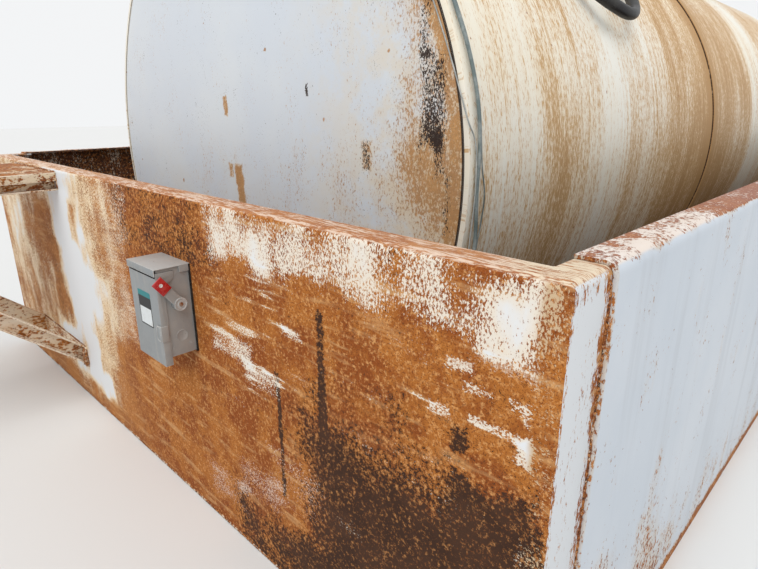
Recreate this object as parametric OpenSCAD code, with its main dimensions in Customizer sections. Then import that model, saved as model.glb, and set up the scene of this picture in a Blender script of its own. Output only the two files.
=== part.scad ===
// Horizontal storage tank standing in an open steel dike, with a bolted-on
// switch box and a pump shelf on the front wall. Millimetres, +Z up.
// The origin is the middle of the dike's underside. The tank lies along Y and
// its front head looks towards -Y, the side that the shelf and switch are on.

/* [Dike] */
// Outside width of the dike, across the front wall
dike_w = 2464; // [2200:1:3000]
// Outside length of the dike, along the tank
dike_l = 4420; // [4250:1:5200]
// Height of the dike walls above the ground
wall_h = 808; // [700:1:900]
// Thickness of the wall plate
wall_t = 6; // [4:1:8]
// Thickness of the floor plate
floor_t = 6; // [4:1:12]
// Width of the flange turned in along the top of each wall
flange_w = 51; // [35:1:80]
// Outside radius of the bend between wall and flange
bend_r = 12; // [10:1:20]
// How far the end walls return along the sides
return_w = 125; // [90:1:200]
// How far the side plates lap over those returns
side_lap = 25; // [15:1:50]

/* [Tank] */
// Outside diameter of the shell
tank_d = 1638; // [1400:1:1760]
// Length of the tank from end ring to end ring
tank_l = 3658; // [3300:1:4000]
// Thickness of the shell plate
shell_t = 6; // [5:1:10]
// Length of the front course, end ring included, up to the lap
course_l = 1650; // [1300:1:2000]
// Overlap of the rear course on the front one
lap_l = 40; // [25:1:80]
// Width of the ring that closes the shell round each head
ring_w = 16; // [12:1:30]
// Length of that ring along the tank
ring_l = 20; // [15:1:40]
// Thickness of the flat heads
head_t = 10; // [8:1:14]
// Bevel round the edge of each head, which shows as a dark line
head_bevel = 4; // [2:1:6]
// Clear height between the dike floor and the lowest line of the shell
tank_clear = 18; // [14:1:60]

/* [Cradles] */
// Distance of each cradle from the middle of the tank
cradle_y = 1150; // [700:1:1400]
// Half width of a cradle, across the tank
cradle_half = 520; // [350:1:620]
// Thickness of the cradle's web plate
cradle_t = 12; // [8:1:20]
// Width of the curved strip the shell lies on
strip_w = 120; // [80:1:200]
// Thickness of that strip
strip_t = 6; // [4:1:8]

/* [Top fittings] */
// How far each lifting lug stands from its end of the tank
lug_end = 579; // [500:1:700]
// Height of a lifting lug
lug_h = 110; // [90:1:160]
// Diameter of the eye in a lug
lug_eye = 45; // [30:1:55]
// How far behind the lap the emergency vent stands
relief_back = 679; // [400:1:900]
// Outside diameter of the emergency vent's neck
relief_d = 219; // [168:1:273]
// How far in front of the lap the fill neck stands
fill_front = 121; // [80:1:260]
// Outside diameter of the fill neck
fill_d = 114; // [89:1:141]
// How far the vent pipe stands from the rear end
vent_end = 229; // [130:1:320]
// Outside diameter of the vent pipe
vent_d = 60; // [42:1:76]
// Height of the vent pipe
vent_h = 260; // [150:1:400]
// How far the level gauge stands from the front end
gauge_end = 129; // [120:1:160]
// Diameter of the gauge's round head
gauge_d = 90; // [70:1:110]

/* [Hose] */
// Outside diameter of the rubber hose
hose_d = 34; // [25:1:42]
// How far the first hose connection stands from the front end
hose_end = 329; // [270:1:370]
// Distance between the two hose connections
hose_pitch = 880; // [850:1:900]
// Height of the hose's ends above the shell
hose_rise = 78; // [70:1:95]
// Reach of a connection from the tank's top line to the hose
hose_reach = 110; // [100:1:130]
// Outside diameter of the connections' pipe
stub_d = 48; // [42:1:60]

/* [Pump shelf] */
// How far the shelf's middle stands in from the left end of the front wall
shelf_in = 534; // [400:1:700]
// Width of the shelf along the wall
shelf_w = 457; // [300:1:600]
// Reach of the shelf out from the wall
shelf_reach = 710; // [500:1:900]
// How far the shelf's top lies under the top of the wall
shelf_drop = 12; // [0:1:60]
// Thickness of the shelf plate and its lips
shelf_t = 5; // [3:1:8]
// Height of the lip round the shelf plate
lip_h = 27; // [18:1:34]
// Depth of the channel used for arms and braces
channel_h = 51; // [40:1:76]
// Width of the channel's flanges
channel_w = 25; // [20:1:40]
// Thickness of the channel's walls
channel_t = 5; // [3:1:6]
// Height of the braces' top face where they meet the wall
brace_foot = 203; // [120:1:300]
// How far inside the shelf's reach the braces' top face ends
brace_end = 75; // [60:1:160]
// Height of the bar on the wall that the braces land on
cleat_h = 76; // [60:1:110]

/* [Switch box] */
// How far the box's middle stands in from the right end of the front wall
switch_in = 945; // [400:1:1150]
// Height of the underside of the box above the ground
switch_z = 438; // [300:1:500]
// Width over the cover
switch_w = 134; // [110:1:180]
// Height of the box up to the top of its hood
switch_h = 225; // [200:1:260]
// Depth of the box from wall to cover
switch_d = 80; // [65:1:120]
// Sheet thickness of box, cover and hood
sheet_t = 2; // [1.5:0.5:3]
// Depth of the flange folded back along each side of the cover
cover_flange = 17; // [12:1:24]
// How far the cover's ears reach back from its face
ear_l = 41; // [36:1:46]
// How far the ears reach below the hinge
ear_drop = 6; // [5:1:14]
// Distance of the cover's hinge behind its face
hinge_back = 9; // [8:1:12]
// Height of the lip round the hood
hood_lip = 16; // [14:1:20]
// Height of the slot between the hood's lip and the cover
cover_slot = 5; // [5:1:7]
// How far the body's underside stands above the cover's foot
body_lift = 18; // [8:1:26]
// Distance of the handle's hub from the wall
hub_y = 36; // [30:1:45]
// Height of the handle's hub above the underside of the box
hub_z = 141; // [110:1:143]
// Diameter of the handle's hub
hub_d = 30; // [24:1:36]
// Length of the handle from the hub's middle to its tip
lever_l = 80; // [65:1:90]
// Width of the handle
lever_w = 22; // [16:1:26]
// Rise of the handle above level, at rest
lever_rise = 52; // [40:1:60]

/* [Hidden] */
$fn = 48;
tank_r = tank_d / 2;
axis_h = floor_t + tank_clear + tank_r;
tank_top = axis_h + tank_r;
lap_y = -tank_l / 2 + course_l;
lug_y = tank_l / 2 - lug_end;
relief_y = lap_y + relief_back;
fill_y = lap_y - fill_front;
vent_y = tank_l / 2 - vent_end;
gauge_y = -tank_l / 2 + gauge_end;
hose_front_y = -tank_l / 2 + hose_end;
hose_rear_y = hose_front_y + hose_pitch;
shelf_x = -dike_w / 2 + shelf_in;
switch_x = dike_w / 2 - switch_in;
wall_face = -dike_l / 2;
seat = 0.3;
paint_white = [0.86, 0.87, 0.85];
paint_rust = [0.62, 0.33, 0.15];
paint_grey = [0.53, 0.55, 0.56];
hinge_gap = 0.08;
pin_d = 4;

// Point at the angle a from the tank's top line, at height h off the shell
function on_shell(y, a, h) = [
    (tank_r + h) * sin(a),
    y,
    axis_h + (tank_r + h) * cos(a)
];

// The gauge's cable and two wires leave its head, cross the shell beside the
// front ring, hang down inside the dike and end in the glands behind the switch
gland_l = 30;
gland_gap = 30;
gland_z = switch_z + 110;
boss_l = 18;
cable_d = 8;
wire_d = 3;
cord_x = gauge_d / 2 + boss_l + seat;
cord_z = tank_top + 48;
ring_y = -tank_l / 2;
gland_y = wall_face + wall_t + gland_l + seat;
cable_route = [
    [cord_x, gauge_y, cord_z],
    [94, gauge_y - 6, cord_z - 2],
    [128, gauge_y - 20, cord_z - 14],
    on_shell(gauge_y - 42, 12, 14),
    on_shell(gauge_y - 62, 19, 9),
    on_shell(ring_y + 44, 29, 9),
    on_shell(ring_y + 28, 40, 9),
    on_shell(ring_y + 16, 50, 9),
    on_shell(ring_y + 12, 59, 9),
    on_shell(ring_y + 14, 67, 9),
    on_shell(ring_y + 24, 75, 9),
    on_shell(ring_y + 25, 83, 9),
    [tank_r + 6, ring_y + 20, axis_h - 20],
    [tank_r + 6, ring_y + 22, axis_h - 130],
    [tank_r - 2, ring_y + 6, axis_h - 270],
    [760, ring_y - 70, 470],
    [610, ring_y - 190, 425],
    [430, ring_y - 290, 460],
    [310, gland_y + 36, gland_z - 16],
    [switch_x, gland_y, gland_z]
];
front_wire_route = [
    [cord_x, gauge_y - 22, cord_z],
    [92, gauge_y - 34, cord_z - 2],
    [126, gauge_y - 54, cord_z - 16],
    on_shell(ring_y + 50, 13, 10),
    on_shell(ring_y + 30, 21, 6),
    on_shell(ring_y + 14, 30, 6),
    on_shell(ring_y + 3, 38, 6),
    on_shell(ring_y - 3, 43, 4),
    on_shell(ring_y - 3, 50, -9),
    on_shell(ring_y - 3, 58, -21),
    on_shell(ring_y - 3, 66, -24),
    on_shell(ring_y - 3, 73, -18),
    on_shell(ring_y - 3, 79, -6),
    on_shell(ring_y - 3, 82, 4),
    on_shell(ring_y + 10, 84, 6),
    on_shell(ring_y + 15, 89, 6),
    [tank_r, ring_y + 12, axis_h - 120],
    [tank_r - 6, ring_y - 2, axis_h - 250],
    [730, ring_y - 135, 455],
    [550, ring_y - 265, 405],
    [390, ring_y - 330, 480],
    [switch_x + gland_gap, gland_y, gland_z]
];
rear_wire_route = [
    [cord_x, gauge_y + 22, cord_z],
    [94, gauge_y + 14, cord_z - 2],
    [128, gauge_y - 4, cord_z - 16],
    on_shell(gauge_y - 26, 13, 9),
    on_shell(gauge_y - 48, 21, 6),
    on_shell(ring_y + 61, 31, 6),
    on_shell(ring_y + 48, 42, 6),
    on_shell(ring_y + 36, 53, 6),
    on_shell(ring_y + 25, 65, 6),
    on_shell(ring_y + 32, 74, 6),
    on_shell(ring_y + 32, 83, 6),
    on_shell(ring_y + 36, 88, 6),
    on_shell(ring_y + 49, 92, 6),
    on_shell(ring_y + 52, 95, 4),
    [tank_r - 3, ring_y + 40, axis_h - 145],
    [tank_r - 10, ring_y + 22, axis_h - 290],
    [700, ring_y - 110, 430],
    [480, ring_y - 250, 420],
    [300, ring_y - 308, 500],
    [switch_x - gland_gap, gland_y, gland_z]
];

// The hose hangs over the right shoulder as one slack loop
hose_lift = hose_d / 2 + 4;
hose_x = hose_reach + seat;
hose_z = tank_top + hose_rise;
hose_route = [
    [hose_x, hose_front_y, hose_z],
    [165, hose_front_y, hose_z - 2],
    [225, hose_front_y + 6, hose_z - 16],
    on_shell(hose_front_y + 18, 21, hose_lift + 30),
    on_shell(hose_front_y + 45, 29, hose_lift + 6),
    on_shell(hose_front_y + 90, 37, hose_lift),
    on_shell(hose_front_y + 150, 45, hose_lift),
    on_shell(hose_front_y + 225, 52.5, hose_lift + 3),
    on_shell(hose_front_y + 310, 58.5, hose_lift + 15),
    on_shell(hose_front_y + 400, 62.2, hose_lift + 28),
    on_shell(hose_front_y + 480, 63, hose_lift + 30),
    on_shell(hose_front_y + 550, 61.2, hose_lift + 22),
    on_shell(hose_front_y + 615, 56.5, hose_lift + 9),
    on_shell(hose_front_y + 670, 47, hose_lift + 1),
    on_shell(hose_front_y + 725, 36, hose_lift + 1),
    on_shell(hose_rear_y - 105, 25, hose_lift + 20),
    [262, hose_rear_y - 58, hose_z - 24],
    [205, hose_rear_y - 14, hose_z - 4],
    [hose_x, hose_rear_y, hose_z]
];

// A 2D shape drawn in X and Z, carried along +Y from y0
module along_y(y0, len) {
    translate([0, y0 + len, 0])
        rotate([90, 0, 0])
            linear_extrude(len)
                children();
}

// A 2D shape drawn in Y and Z, carried along +X from x0
module along_x(x0, len) {
    translate([x0, 0, 0])
        rotate([90, 0, 90])
            linear_extrude(len)
                children();
}

// Section of a dike wall: upright plate, rounded bend and in-turned flange.
// The bend turns about the same centre whatever the plate lies over, by lap.
module wall_section(low, lap) {
    r = bend_r + lap;
    cz = wall_h - bend_r;
    polygon(concat(
        [[-lap, low]],
        [for (a = [180:-15:90]) [bend_r + r * cos(a), cz + r * sin(a)]],
        [[flange_w, cz + r], [flange_w, cz + r - wall_t]],
        [for (a = [90:15:180]) [bend_r + (r - wall_t) * cos(a), cz + (r - wall_t) * sin(a)]],
        [[wall_t - lap, low]]
    ));
}

// The block that keeps an end wall's flange inside its two mitres
module mitre_block() {
    k = flange_w + 10;
    linear_extrude(wall_h + 1)
        polygon([
            [-dike_w / 2 - 1, wall_face - 1],
            [dike_w / 2 + 1, wall_face - 1],
            [dike_w / 2 - k, wall_face + k],
            [-dike_w / 2 + k, wall_face + k]
        ]);
}

// Front wall, bent round both corners as a short return
module end_wall() {
    intersection() {
        along_x(-dike_w / 2, dike_w)
            translate([wall_face, 0])
                wall_section(floor_t, 0);
        mitre_block();
    }
    for (side = [-1, 1])
        scale([side, 1, 1])
            difference() {
                along_y(wall_face, return_w)
                    translate([-dike_w / 2, 0])
                        wall_section(floor_t, 0);
                mitre_block();
            }
}

// Side plate, lapped over the returns and reaching down beside the floor
module side_wall() {
    y0 = wall_face + return_w - side_lap;
    along_y(y0, -2 * y0)
        translate([-dike_w / 2, 0])
            wall_section(0, wall_t + seat);
}

module dike_floor() {
    color(paint_white)
        translate([-dike_w / 2, -dike_l / 2, 0])
            cube([dike_w, dike_l, floor_t]);
}

module front_wall() {
    color(paint_rust)
        end_wall();
}

module rear_wall() {
    color(paint_white)
        rotate([0, 0, 180])
            end_wall();
}

module left_wall() {
    color(paint_white)
        side_wall();
}

module right_wall() {
    color(paint_white)
        rotate([0, 0, 180])
            side_wall();
}

// Flat head, seated inside its ring, with a bevelled edge
module head() {
    r = tank_r - ring_w - seat;
    translate([0, -tank_l / 2, axis_h])
        rotate([-90, 0, 0]) {
            cylinder(r1 = r - head_bevel, r2 = r, h = head_bevel, $fn = 120);
            translate([0, 0, head_bevel])
                cylinder(r = r, h = head_t - head_bevel, $fn = 120);
        }
}

// Ring welded on the end of the shell round the head
module end_ring() {
    translate([0, -tank_l / 2, axis_h])
        rotate([-90, 0, 0])
            difference() {
                cylinder(r = tank_r, h = ring_l, $fn = 120);
                translate([0, 0, -1])
                    cylinder(r = tank_r - ring_w, h = ring_l + 2, $fn = 120);
            }
}

module front_head() {
    color(paint_white)
        head();
}

module rear_head() {
    color(paint_white)
        mirror([0, 1, 0])
            head();
}

module front_ring() {
    color(paint_white)
        end_ring();
}

module rear_ring() {
    color(paint_white)
        mirror([0, 1, 0])
            end_ring();
}

// A rolled course: a tube along Y with the outside radius r
module course(y0, len, r) {
    translate([0, y0, axis_h])
        rotate([-90, 0, 0])
            difference() {
                cylinder(r = r, h = len, $fn = 120);
                translate([0, 0, -1])
                    cylinder(r = r - shell_t, h = len + 2, $fn = 120);
            }
}

module front_course() {
    color(paint_white)
        course(-tank_l / 2 + ring_l, course_l - ring_l + lap_l, tank_r);
}

// The rear course steps out over the end of the front one at the lap
module rear_course() {
    lap_r = tank_r + seat + shell_t;
    color(paint_white) {
        translate([0, lap_y, axis_h])
            rotate([-90, 0, 0])
                rotate_extrude($fn = 120)
                    polygon([
                        [tank_r + seat, 0],
                        [lap_r, 0],
                        [lap_r, lap_l + 4],
                        [tank_r, lap_l + 40],
                        [tank_r, tank_l - course_l - ring_l],
                        [tank_r - shell_t, tank_l - course_l - ring_l],
                        [tank_r - shell_t, lap_l + 40],
                        [tank_r + seat, lap_l + 4]
                    ]);
    }
}

// Low cradle: a web cut to the shell, with a curved strip and two feet
module cradle() {
    strip_r = tank_r + seat;
    along_y(cradle_y - cradle_t / 2, cradle_t)
        difference() {
            translate([-cradle_half, floor_t])
                square([2 * cradle_half, axis_h - floor_t - tank_r * 0.7]);
            translate([0, axis_h])
                circle(r = strip_r + strip_t / 2, $fn = 120);
        }
    along_y(cradle_y - strip_w / 2, strip_w)
        intersection() {
            difference() {
                translate([0, axis_h])
                    circle(r = strip_r + strip_t, $fn = 120);
                translate([0, axis_h])
                    circle(r = strip_r, $fn = 120);
            }
            translate([-cradle_half, floor_t])
                square([2 * cradle_half, axis_h - floor_t - tank_r * 0.7]);
        }
    for (side = [-1, 1])
        translate([side * (cradle_half - 60) - 60, cradle_y - strip_w / 2, floor_t])
            cube([120, strip_w, 10]);
}

module front_cradle() {
    color(paint_white)
        mirror([0, 1, 0])
            cradle();
}

module rear_cradle() {
    color(paint_white)
        cradle();
}

// Lifting lug on the tank's top line: a plate along Y with an eye
module lug() {
    foot = 150;
    along_x(-6, 12)
        translate([lug_y, tank_top])
            difference() {
                hull() {
                    translate([-foot / 2, 0])
                        square([foot, 12]);
                    translate([0, lug_h - 45])
                        circle(r = 45);
                }
                translate([0, lug_h - 45])
                    circle(d = lug_eye);
            }
}

module front_lug() {
    color(paint_white)
        mirror([0, 1, 0])
            lug();
}

module rear_lug() {
    color(paint_white)
        lug();
}

// A round neck on the tank's top line, cut to the shell underneath
module neck(y, d, h) {
    difference() {
        translate([0, y, tank_top - 30])
            cylinder(d = d, h = h + 30);
        translate([0, y - d, axis_h])
            rotate([-90, 0, 0])
                cylinder(r = tank_r + seat, h = 2 * d, $fn = 120);
    }
}

module relief_neck() {
    color(paint_white) {
        neck(relief_y, relief_d, 90);
        translate([0, relief_y, tank_top + 74])
            cylinder(d = relief_d + 60, h = 16);
    }
}

module relief_cover() {
    color(paint_grey)
        translate([0, relief_y, tank_top + 90])
            rotate_extrude()
                polygon([
                    [0, 0],
                    [relief_d / 2 + 24, 0],
                    [relief_d / 2 + 24, 22],
                    [relief_d / 2 - 6, 48],
                    [relief_d / 4, 60],
                    [0, 64]
                ]);
}

module fill_neck() {
    color(paint_white)
        neck(fill_y, fill_d, 100);
}

module fill_cap() {
    color(paint_grey)
        translate([0, fill_y, tank_top + 100]) {
            cylinder(d = fill_d + 16, h = 32);
            translate([0, 0, 32])
                cylinder(d = fill_d - 30, h = 10);
        }
}

module vent_pipe() {
    color(paint_white)
        neck(vent_y, vent_d, vent_h);
}

module vent_hood() {
    color(paint_grey)
        translate([0, vent_y, tank_top + vent_h])
            rotate_extrude()
                polygon([
                    [0, 0],
                    [vent_d / 2 + 8, 0],
                    [vent_d / 2 + 8, 14],
                    [vent_d / 2 + 30, 14],
                    [vent_d / 2 + 30, 26],
                    [vent_d / 4, 46],
                    [0, 48]
                ]);
}

module gauge_neck() {
    color(paint_white)
        neck(gauge_y, 60, 30);
}

// Round gauge head with a domed lid and a tapered boss for each cord
module gauge_head() {
    r = gauge_d / 2;
    color(paint_grey) {
        translate([0, gauge_y, tank_top + 30])
            rotate_extrude()
                polygon([
                    [0, 0],
                    [r, 0],
                    [r, 34],
                    [r + 4, 34],
                    [r + 4, 42],
                    [r - 8, 50],
                    [0, 56]
                ]);
        for (y = [-22, 0, 22])
            translate([r / 2, gauge_y + y, cord_z])
                rotate([0, 90, 0])
                    cylinder(d1 = 18, d2 = 12, h = r / 2 + boss_l);
    }
}

// Glands on the inside of the front wall, where the cords go to the switch
module wire_glands() {
    color(paint_grey)
        for (k = [-1:1])
            translate([switch_x + k * gland_gap, wall_face + wall_t, gland_z])
                rotate([-90, 0, 0]) {
                    cylinder(d = 24, h = 10, $fn = 6);
                    cylinder(d1 = 20, d2 = 12, h = gland_l);
                }
}

module gauge_cable() {
    color([0.33, 0.38, 0.38])
        tube(cable_route, cable_d, [0, -1, 0]);
}

module front_wire() {
    color([0.45, 0.47, 0.46])
        tube(front_wire_route, wire_d, [0, -1, 0]);
}

module rear_wire() {
    color([0.30, 0.42, 0.42])
        tube(rear_wire_route, wire_d, [0, -1, 0]);
}

// Two short stubs with a union, an elbow and a hose tail each
module hose_fittings() {
    elbow_d = stub_d + 14;
    sleeve_end = hose_reach - 50;
    color(paint_grey)
        for (y = [hose_front_y, hose_rear_y]) {
            neck(y, stub_d, hose_rise - 18);
            translate([0, y, tank_top + hose_rise - 52])
                cylinder(d = stub_d + 26, h = 34, $fn = 6);
            translate([0, y, hose_z])
                sphere(d = elbow_d);
            translate([0, y, hose_z])
                rotate([0, 90, 0])
                    cylinder(d = stub_d + 4, h = sleeve_end);
            translate([sleeve_end, y, hose_z])
                rotate([0, 90, 0])
                    cylinder(d = hose_d + 12, h = hose_reach - sleeve_end);
        }
}

function unit(v) = v / norm(v);

// Plain tube of diameter d through a list of points, with eight sides. It sets
// out along +X and its last face looks along the direction named by end_dir.
module tube(route, d, end_dir) {
    n = len(route);
    sides = 8;
    along = concat(
        [[1, 0, 0]],
        [for (i = [1:n - 2]) unit(route[i + 1] - route[i - 1])],
        [end_dir]
    );
    out = [for (i = [0:n - 1])
        let (o = [route[i][0], 0, route[i][2] - axis_h])
        unit(o - (o * along[i]) * along[i])];
    rings = [for (i = [0:n - 1]) for (k = [0:sides - 1])
        route[i] + d / 2 * (cos(k * 360 / sides) * out[i]
            + sin(k * 360 / sides) * cross(along[i], out[i]))];
    sides_faces = [for (i = [0:n - 2]) for (k = [0:sides - 1])
        let (k2 = (k + 1) % sides)
        [i * sides + k, (i + 1) * sides + k, (i + 1) * sides + k2, i * sides + k2]];
    polyhedron(
        points = rings,
        faces = concat(
            sides_faces,
            [[for (k = [0:sides - 1]) k]],
            [[for (k = [sides - 1:-1:0]) (n - 1) * sides + k]]
        ),
        convexity = 6
    );
}

module hose() {
    color([0.06, 0.06, 0.07])
        tube(hose_route, hose_d, [-1, 0, 0]);
}

shelf_z = wall_h - shelf_drop;
arm_top = shelf_z - shelf_t;
arm_low = arm_top - channel_h;

// Shelf plate with a lip folded down along both sides and the outer edge
module shelf_plate() {
    color(paint_rust)
        translate([shelf_x - shelf_w / 2, wall_face - shelf_reach, shelf_z - lip_h])
            difference() {
                cube([shelf_w, shelf_reach, lip_h]);
                translate([shelf_t, shelf_t, -1])
                    cube([shelf_w - 2 * shelf_t, shelf_reach, lip_h + 1 - shelf_t]);
            }
}

// Channel section, open towards +X, its back at x = 0
module channel_section() {
    difference() {
        square([channel_w, channel_h]);
        translate([channel_t, channel_t])
            square([channel_w, channel_h - 2 * channel_t]);
    }
}

// Two channel arms under the shelf plate, open outwards
module shelf_arms() {
    arm_l = shelf_reach - shelf_t - seat;
    color(paint_rust)
        for (side = [-1, 1])
            translate([shelf_x, 0, 0])
                scale([side, 1, 1])
                    translate([shelf_w / 2 - shelf_t - seat - channel_w, 0, arm_low])
                        along_y(wall_face - arm_l, arm_l)
                            channel_section();
}

// Two channel braces from the cleat on the wall up to the arms
module shelf_braces() {
    rise = atan((arm_low - brace_foot) / (shelf_reach - brace_end));
    run = 2 * shelf_reach;
    color(paint_rust)
        for (side = [-1, 1])
            translate([shelf_x, 0, 0])
                scale([side, 1, 1])
                    intersection() {
                        translate([shelf_w / 2 - shelf_t - seat - channel_w, wall_face, brace_foot])
                            rotate([-rise, 0, 0])
                                translate([0, 0, -channel_h])
                                    along_y(-run, 2 * run)
                                        channel_section();
                        translate([0, wall_face - shelf_reach, floor_t])
                            cube([shelf_w, shelf_reach - channel_t, arm_low - floor_t]);
                    }
}

// Flat bar on the wall that the braces are welded to
module brace_cleat() {
    color(paint_rust)
        translate([shelf_x - shelf_w / 2, wall_face - channel_t, brace_foot - cleat_h])
            cube([shelf_w, channel_t, cleat_h]);
}

box_w = switch_w - 2 * sheet_t - 1;
box_d = switch_d - sheet_t - 1;
box_top = switch_z + switch_h - sheet_t;
cover_y = wall_face - switch_d;
axis_y = cover_y + hinge_back;
cover_top = switch_z + switch_h - hood_lip - cover_slot;
axis_z = cover_top - hinge_back;
ear_top = hinge_back + cover_slot + hood_lip / 2 - 1;
ear_corner = 22;
notch_r = 1.42 * hinge_back + 5;

// What the body's side walls lose round the hinge, so that the cover's top edge
// can turn in between them: a round notch that leaves a boss for the pin
module hinge_notch() {
    translate([axis_y, axis_z])
        difference() {
            circle(r = notch_r);
            circle(r = pin_d / 2 + 3.5);
            rotate(-60)
                translate([4, -2 * notch_r])
                    square(4 * notch_r);
        }
}

// Open tray on the wall that holds the switch
module switch_body() {
    z0 = switch_z + body_lift;
    color(paint_grey)
        difference() {
            translate([switch_x - box_w / 2, wall_face - box_d, z0])
                cube([box_w, box_d, box_top - seat - z0]);
            translate([switch_x - box_w / 2 + sheet_t, wall_face - box_d - 1, z0 + sheet_t])
                cube([box_w - 2 * sheet_t, box_d + 1 - sheet_t, box_top - seat - z0 - 2 * sheet_t]);
            translate([switch_x, axis_y, axis_z])
                rotate([0, 90, 0])
                    cylinder(d = pin_d + 2 * hinge_gap, h = 2 * switch_w, center = true);
            along_x(switch_x - switch_w, 2 * switch_w)
                hinge_notch();
        }
}

// Rain hood: top sheet, a lip along the front and one behind each ear
module switch_hood() {
    hood_w = switch_w + 2;
    hood_d = switch_d + 3;
    lip_back = switch_d - ear_l - 13;
    color(paint_grey)
        translate([switch_x - hood_w / 2, wall_face - hood_d, switch_z + switch_h - hood_lip]) {
            translate([0, 0, hood_lip - sheet_t])
                cube([hood_w, hood_d, sheet_t]);
            cube([hood_w, sheet_t, hood_lip]);
            for (x = [0, hood_w - sheet_t])
                translate([x, hood_d - lip_back, 0])
                    cube([sheet_t, lip_back, hood_lip]);
        }
}

// One side flange of the cover, with the rounded ear that carries its hinge
module cover_side() {
    difference() {
        union() {
            translate([cover_y, switch_z])
                square([cover_flange, axis_z - switch_z]);
            intersection() {
                hull() {
                    translate([cover_y + ear_l - ear_corner, axis_z - ear_drop + ear_corner])
                        circle(r = ear_corner);
                    translate([cover_y, axis_z - ear_drop])
                        square([1, 1]);
                    translate([cover_y, axis_z + ear_top - 1])
                        square([ear_l, 1]);
                }
                translate([cover_y, axis_z - ear_drop])
                    square([ear_l, ear_drop + ear_top]);
            }
        }
        translate([axis_y, axis_z])
            circle(d = pin_d + 2 * hinge_gap);
    }
}

// Cover: front panel with a flange folded back along both sides and the foot
module switch_cover() {
    color(paint_grey) {
        translate([switch_x - switch_w / 2, cover_y, switch_z])
            cube([switch_w, sheet_t, cover_top - switch_z]);
        translate([switch_x - switch_w / 2, cover_y, switch_z])
            cube([switch_w, cover_flange, sheet_t]);
        along_x(switch_x - switch_w / 2, sheet_t)
            cover_side();
        along_x(switch_x + switch_w / 2 - sheet_t, sheet_t)
            cover_side();
    }
}

// Pin across the top of the box that the cover swings on
module cover_pin() {
    color(paint_grey)
        translate([switch_x, axis_y, axis_z])
            rotate([0, 90, 0])
                cylinder(d = pin_d, h = switch_w - 1, center = true);
}

// Catch plate on the cover's face, folded back round its right edge
module cover_latch() {
    plate_w = 18;
    plate_h = 36;
    fold_t = 3;
    color(paint_grey)
        translate([switch_x + switch_w / 2, cover_y - fold_t, switch_z + 60]) {
            translate([-plate_w, 0, 0])
                cube([plate_w + fold_t, fold_t, plate_h]);
            cube([fold_t, fold_t + cover_flange - 3, plate_h]);
        }
}

hub_pos = [switch_x + switch_w / 2 + 1, wall_face - hub_y, switch_z + hub_z];

module handle_hub() {
    color(paint_grey)
        translate([switch_x + box_w / 2 + seat, hub_pos[1], hub_pos[2]])
            rotate([0, 90, 0])
                cylinder(d = hub_d, h = 12);
}

// Flat lever from the hub up and out to the tip
module lever_shape(from, to, w) {
    translate([0, hub_pos[1], hub_pos[2]])
        rotate([-lever_rise, 0, 0])
            translate([0, -to, -w / 2])
                cube([3, to - from, w]);
}

module handle_lever() {
    color(paint_grey)
        translate([switch_x + box_w / 2 + seat + 12, 0, 0])
            lever_shape(-10, lever_l - 4, lever_w);
}

module handle_tip() {
    color([0.62, 0.05, 0.06])
        translate([switch_x + box_w / 2 + seat + 15, 0, 0])
            lever_shape(lever_l - 36, lever_l, lever_w + 4);
}

dike_floor();
front_wall();
rear_wall();
left_wall();
right_wall();
front_head();
rear_head();
front_ring();
rear_ring();
front_course();
rear_course();
front_cradle();
rear_cradle();
front_lug();
rear_lug();
relief_neck();
relief_cover();
fill_neck();
fill_cap();
vent_pipe();
vent_hood();
gauge_neck();
gauge_head();
wire_glands();
gauge_cable();
front_wire();
rear_wire();
hose_fittings();
hose();
shelf_plate();
shelf_arms();
shelf_braces();
brace_cleat();
switch_body();
switch_hood();
switch_cover();
cover_pin();
cover_latch();
handle_hub();
handle_lever();
handle_tip();
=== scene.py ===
import bmesh
import bpy
import math
import random
from mathutils import Matrix, Vector, noise


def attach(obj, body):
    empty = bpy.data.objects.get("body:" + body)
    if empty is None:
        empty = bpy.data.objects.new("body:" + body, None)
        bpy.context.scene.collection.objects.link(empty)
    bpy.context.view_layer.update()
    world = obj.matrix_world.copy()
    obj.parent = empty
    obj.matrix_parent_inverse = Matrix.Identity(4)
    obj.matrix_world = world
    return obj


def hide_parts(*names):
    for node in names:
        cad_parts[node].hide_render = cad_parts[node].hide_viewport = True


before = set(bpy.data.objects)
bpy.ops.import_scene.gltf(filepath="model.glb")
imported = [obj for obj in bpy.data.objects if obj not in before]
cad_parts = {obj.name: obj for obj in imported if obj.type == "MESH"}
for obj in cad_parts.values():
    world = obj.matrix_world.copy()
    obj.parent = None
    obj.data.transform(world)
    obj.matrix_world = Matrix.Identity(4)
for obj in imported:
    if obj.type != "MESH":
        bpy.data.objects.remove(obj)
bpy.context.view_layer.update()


# ---------------------------------------------------------------------------
# Studio: a pale floor, an even sky and one broad soft lamp high on the front
# right. The camera stands close to the front right corner of the dike and
# looks along the front wall and over the corner, a little down.
def put(tree, kind, given=None, **settings):
    """A shader node of that kind, with its settings and what goes into it."""
    node = tree.nodes.new("ShaderNode" + kind)
    for name, value in settings.items():
        setattr(node, name, value)
    for key, value in (given or {}).items():
        socket = node.inputs[key]
        if isinstance(value, bpy.types.NodeSocket):
            tree.links.new(value, socket)
        elif isinstance(value, tuple) and len(value) == 3 and socket.type == "RGBA":
            socket.default_value = (*value, 1.0)
        else:
            socket.default_value = value
    return node


def show(thing):
    bpy.context.scene.collection.objects.link(thing)
    return thing


scene = bpy.context.scene
scene.view_settings.view_transform = "Standard"

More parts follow.
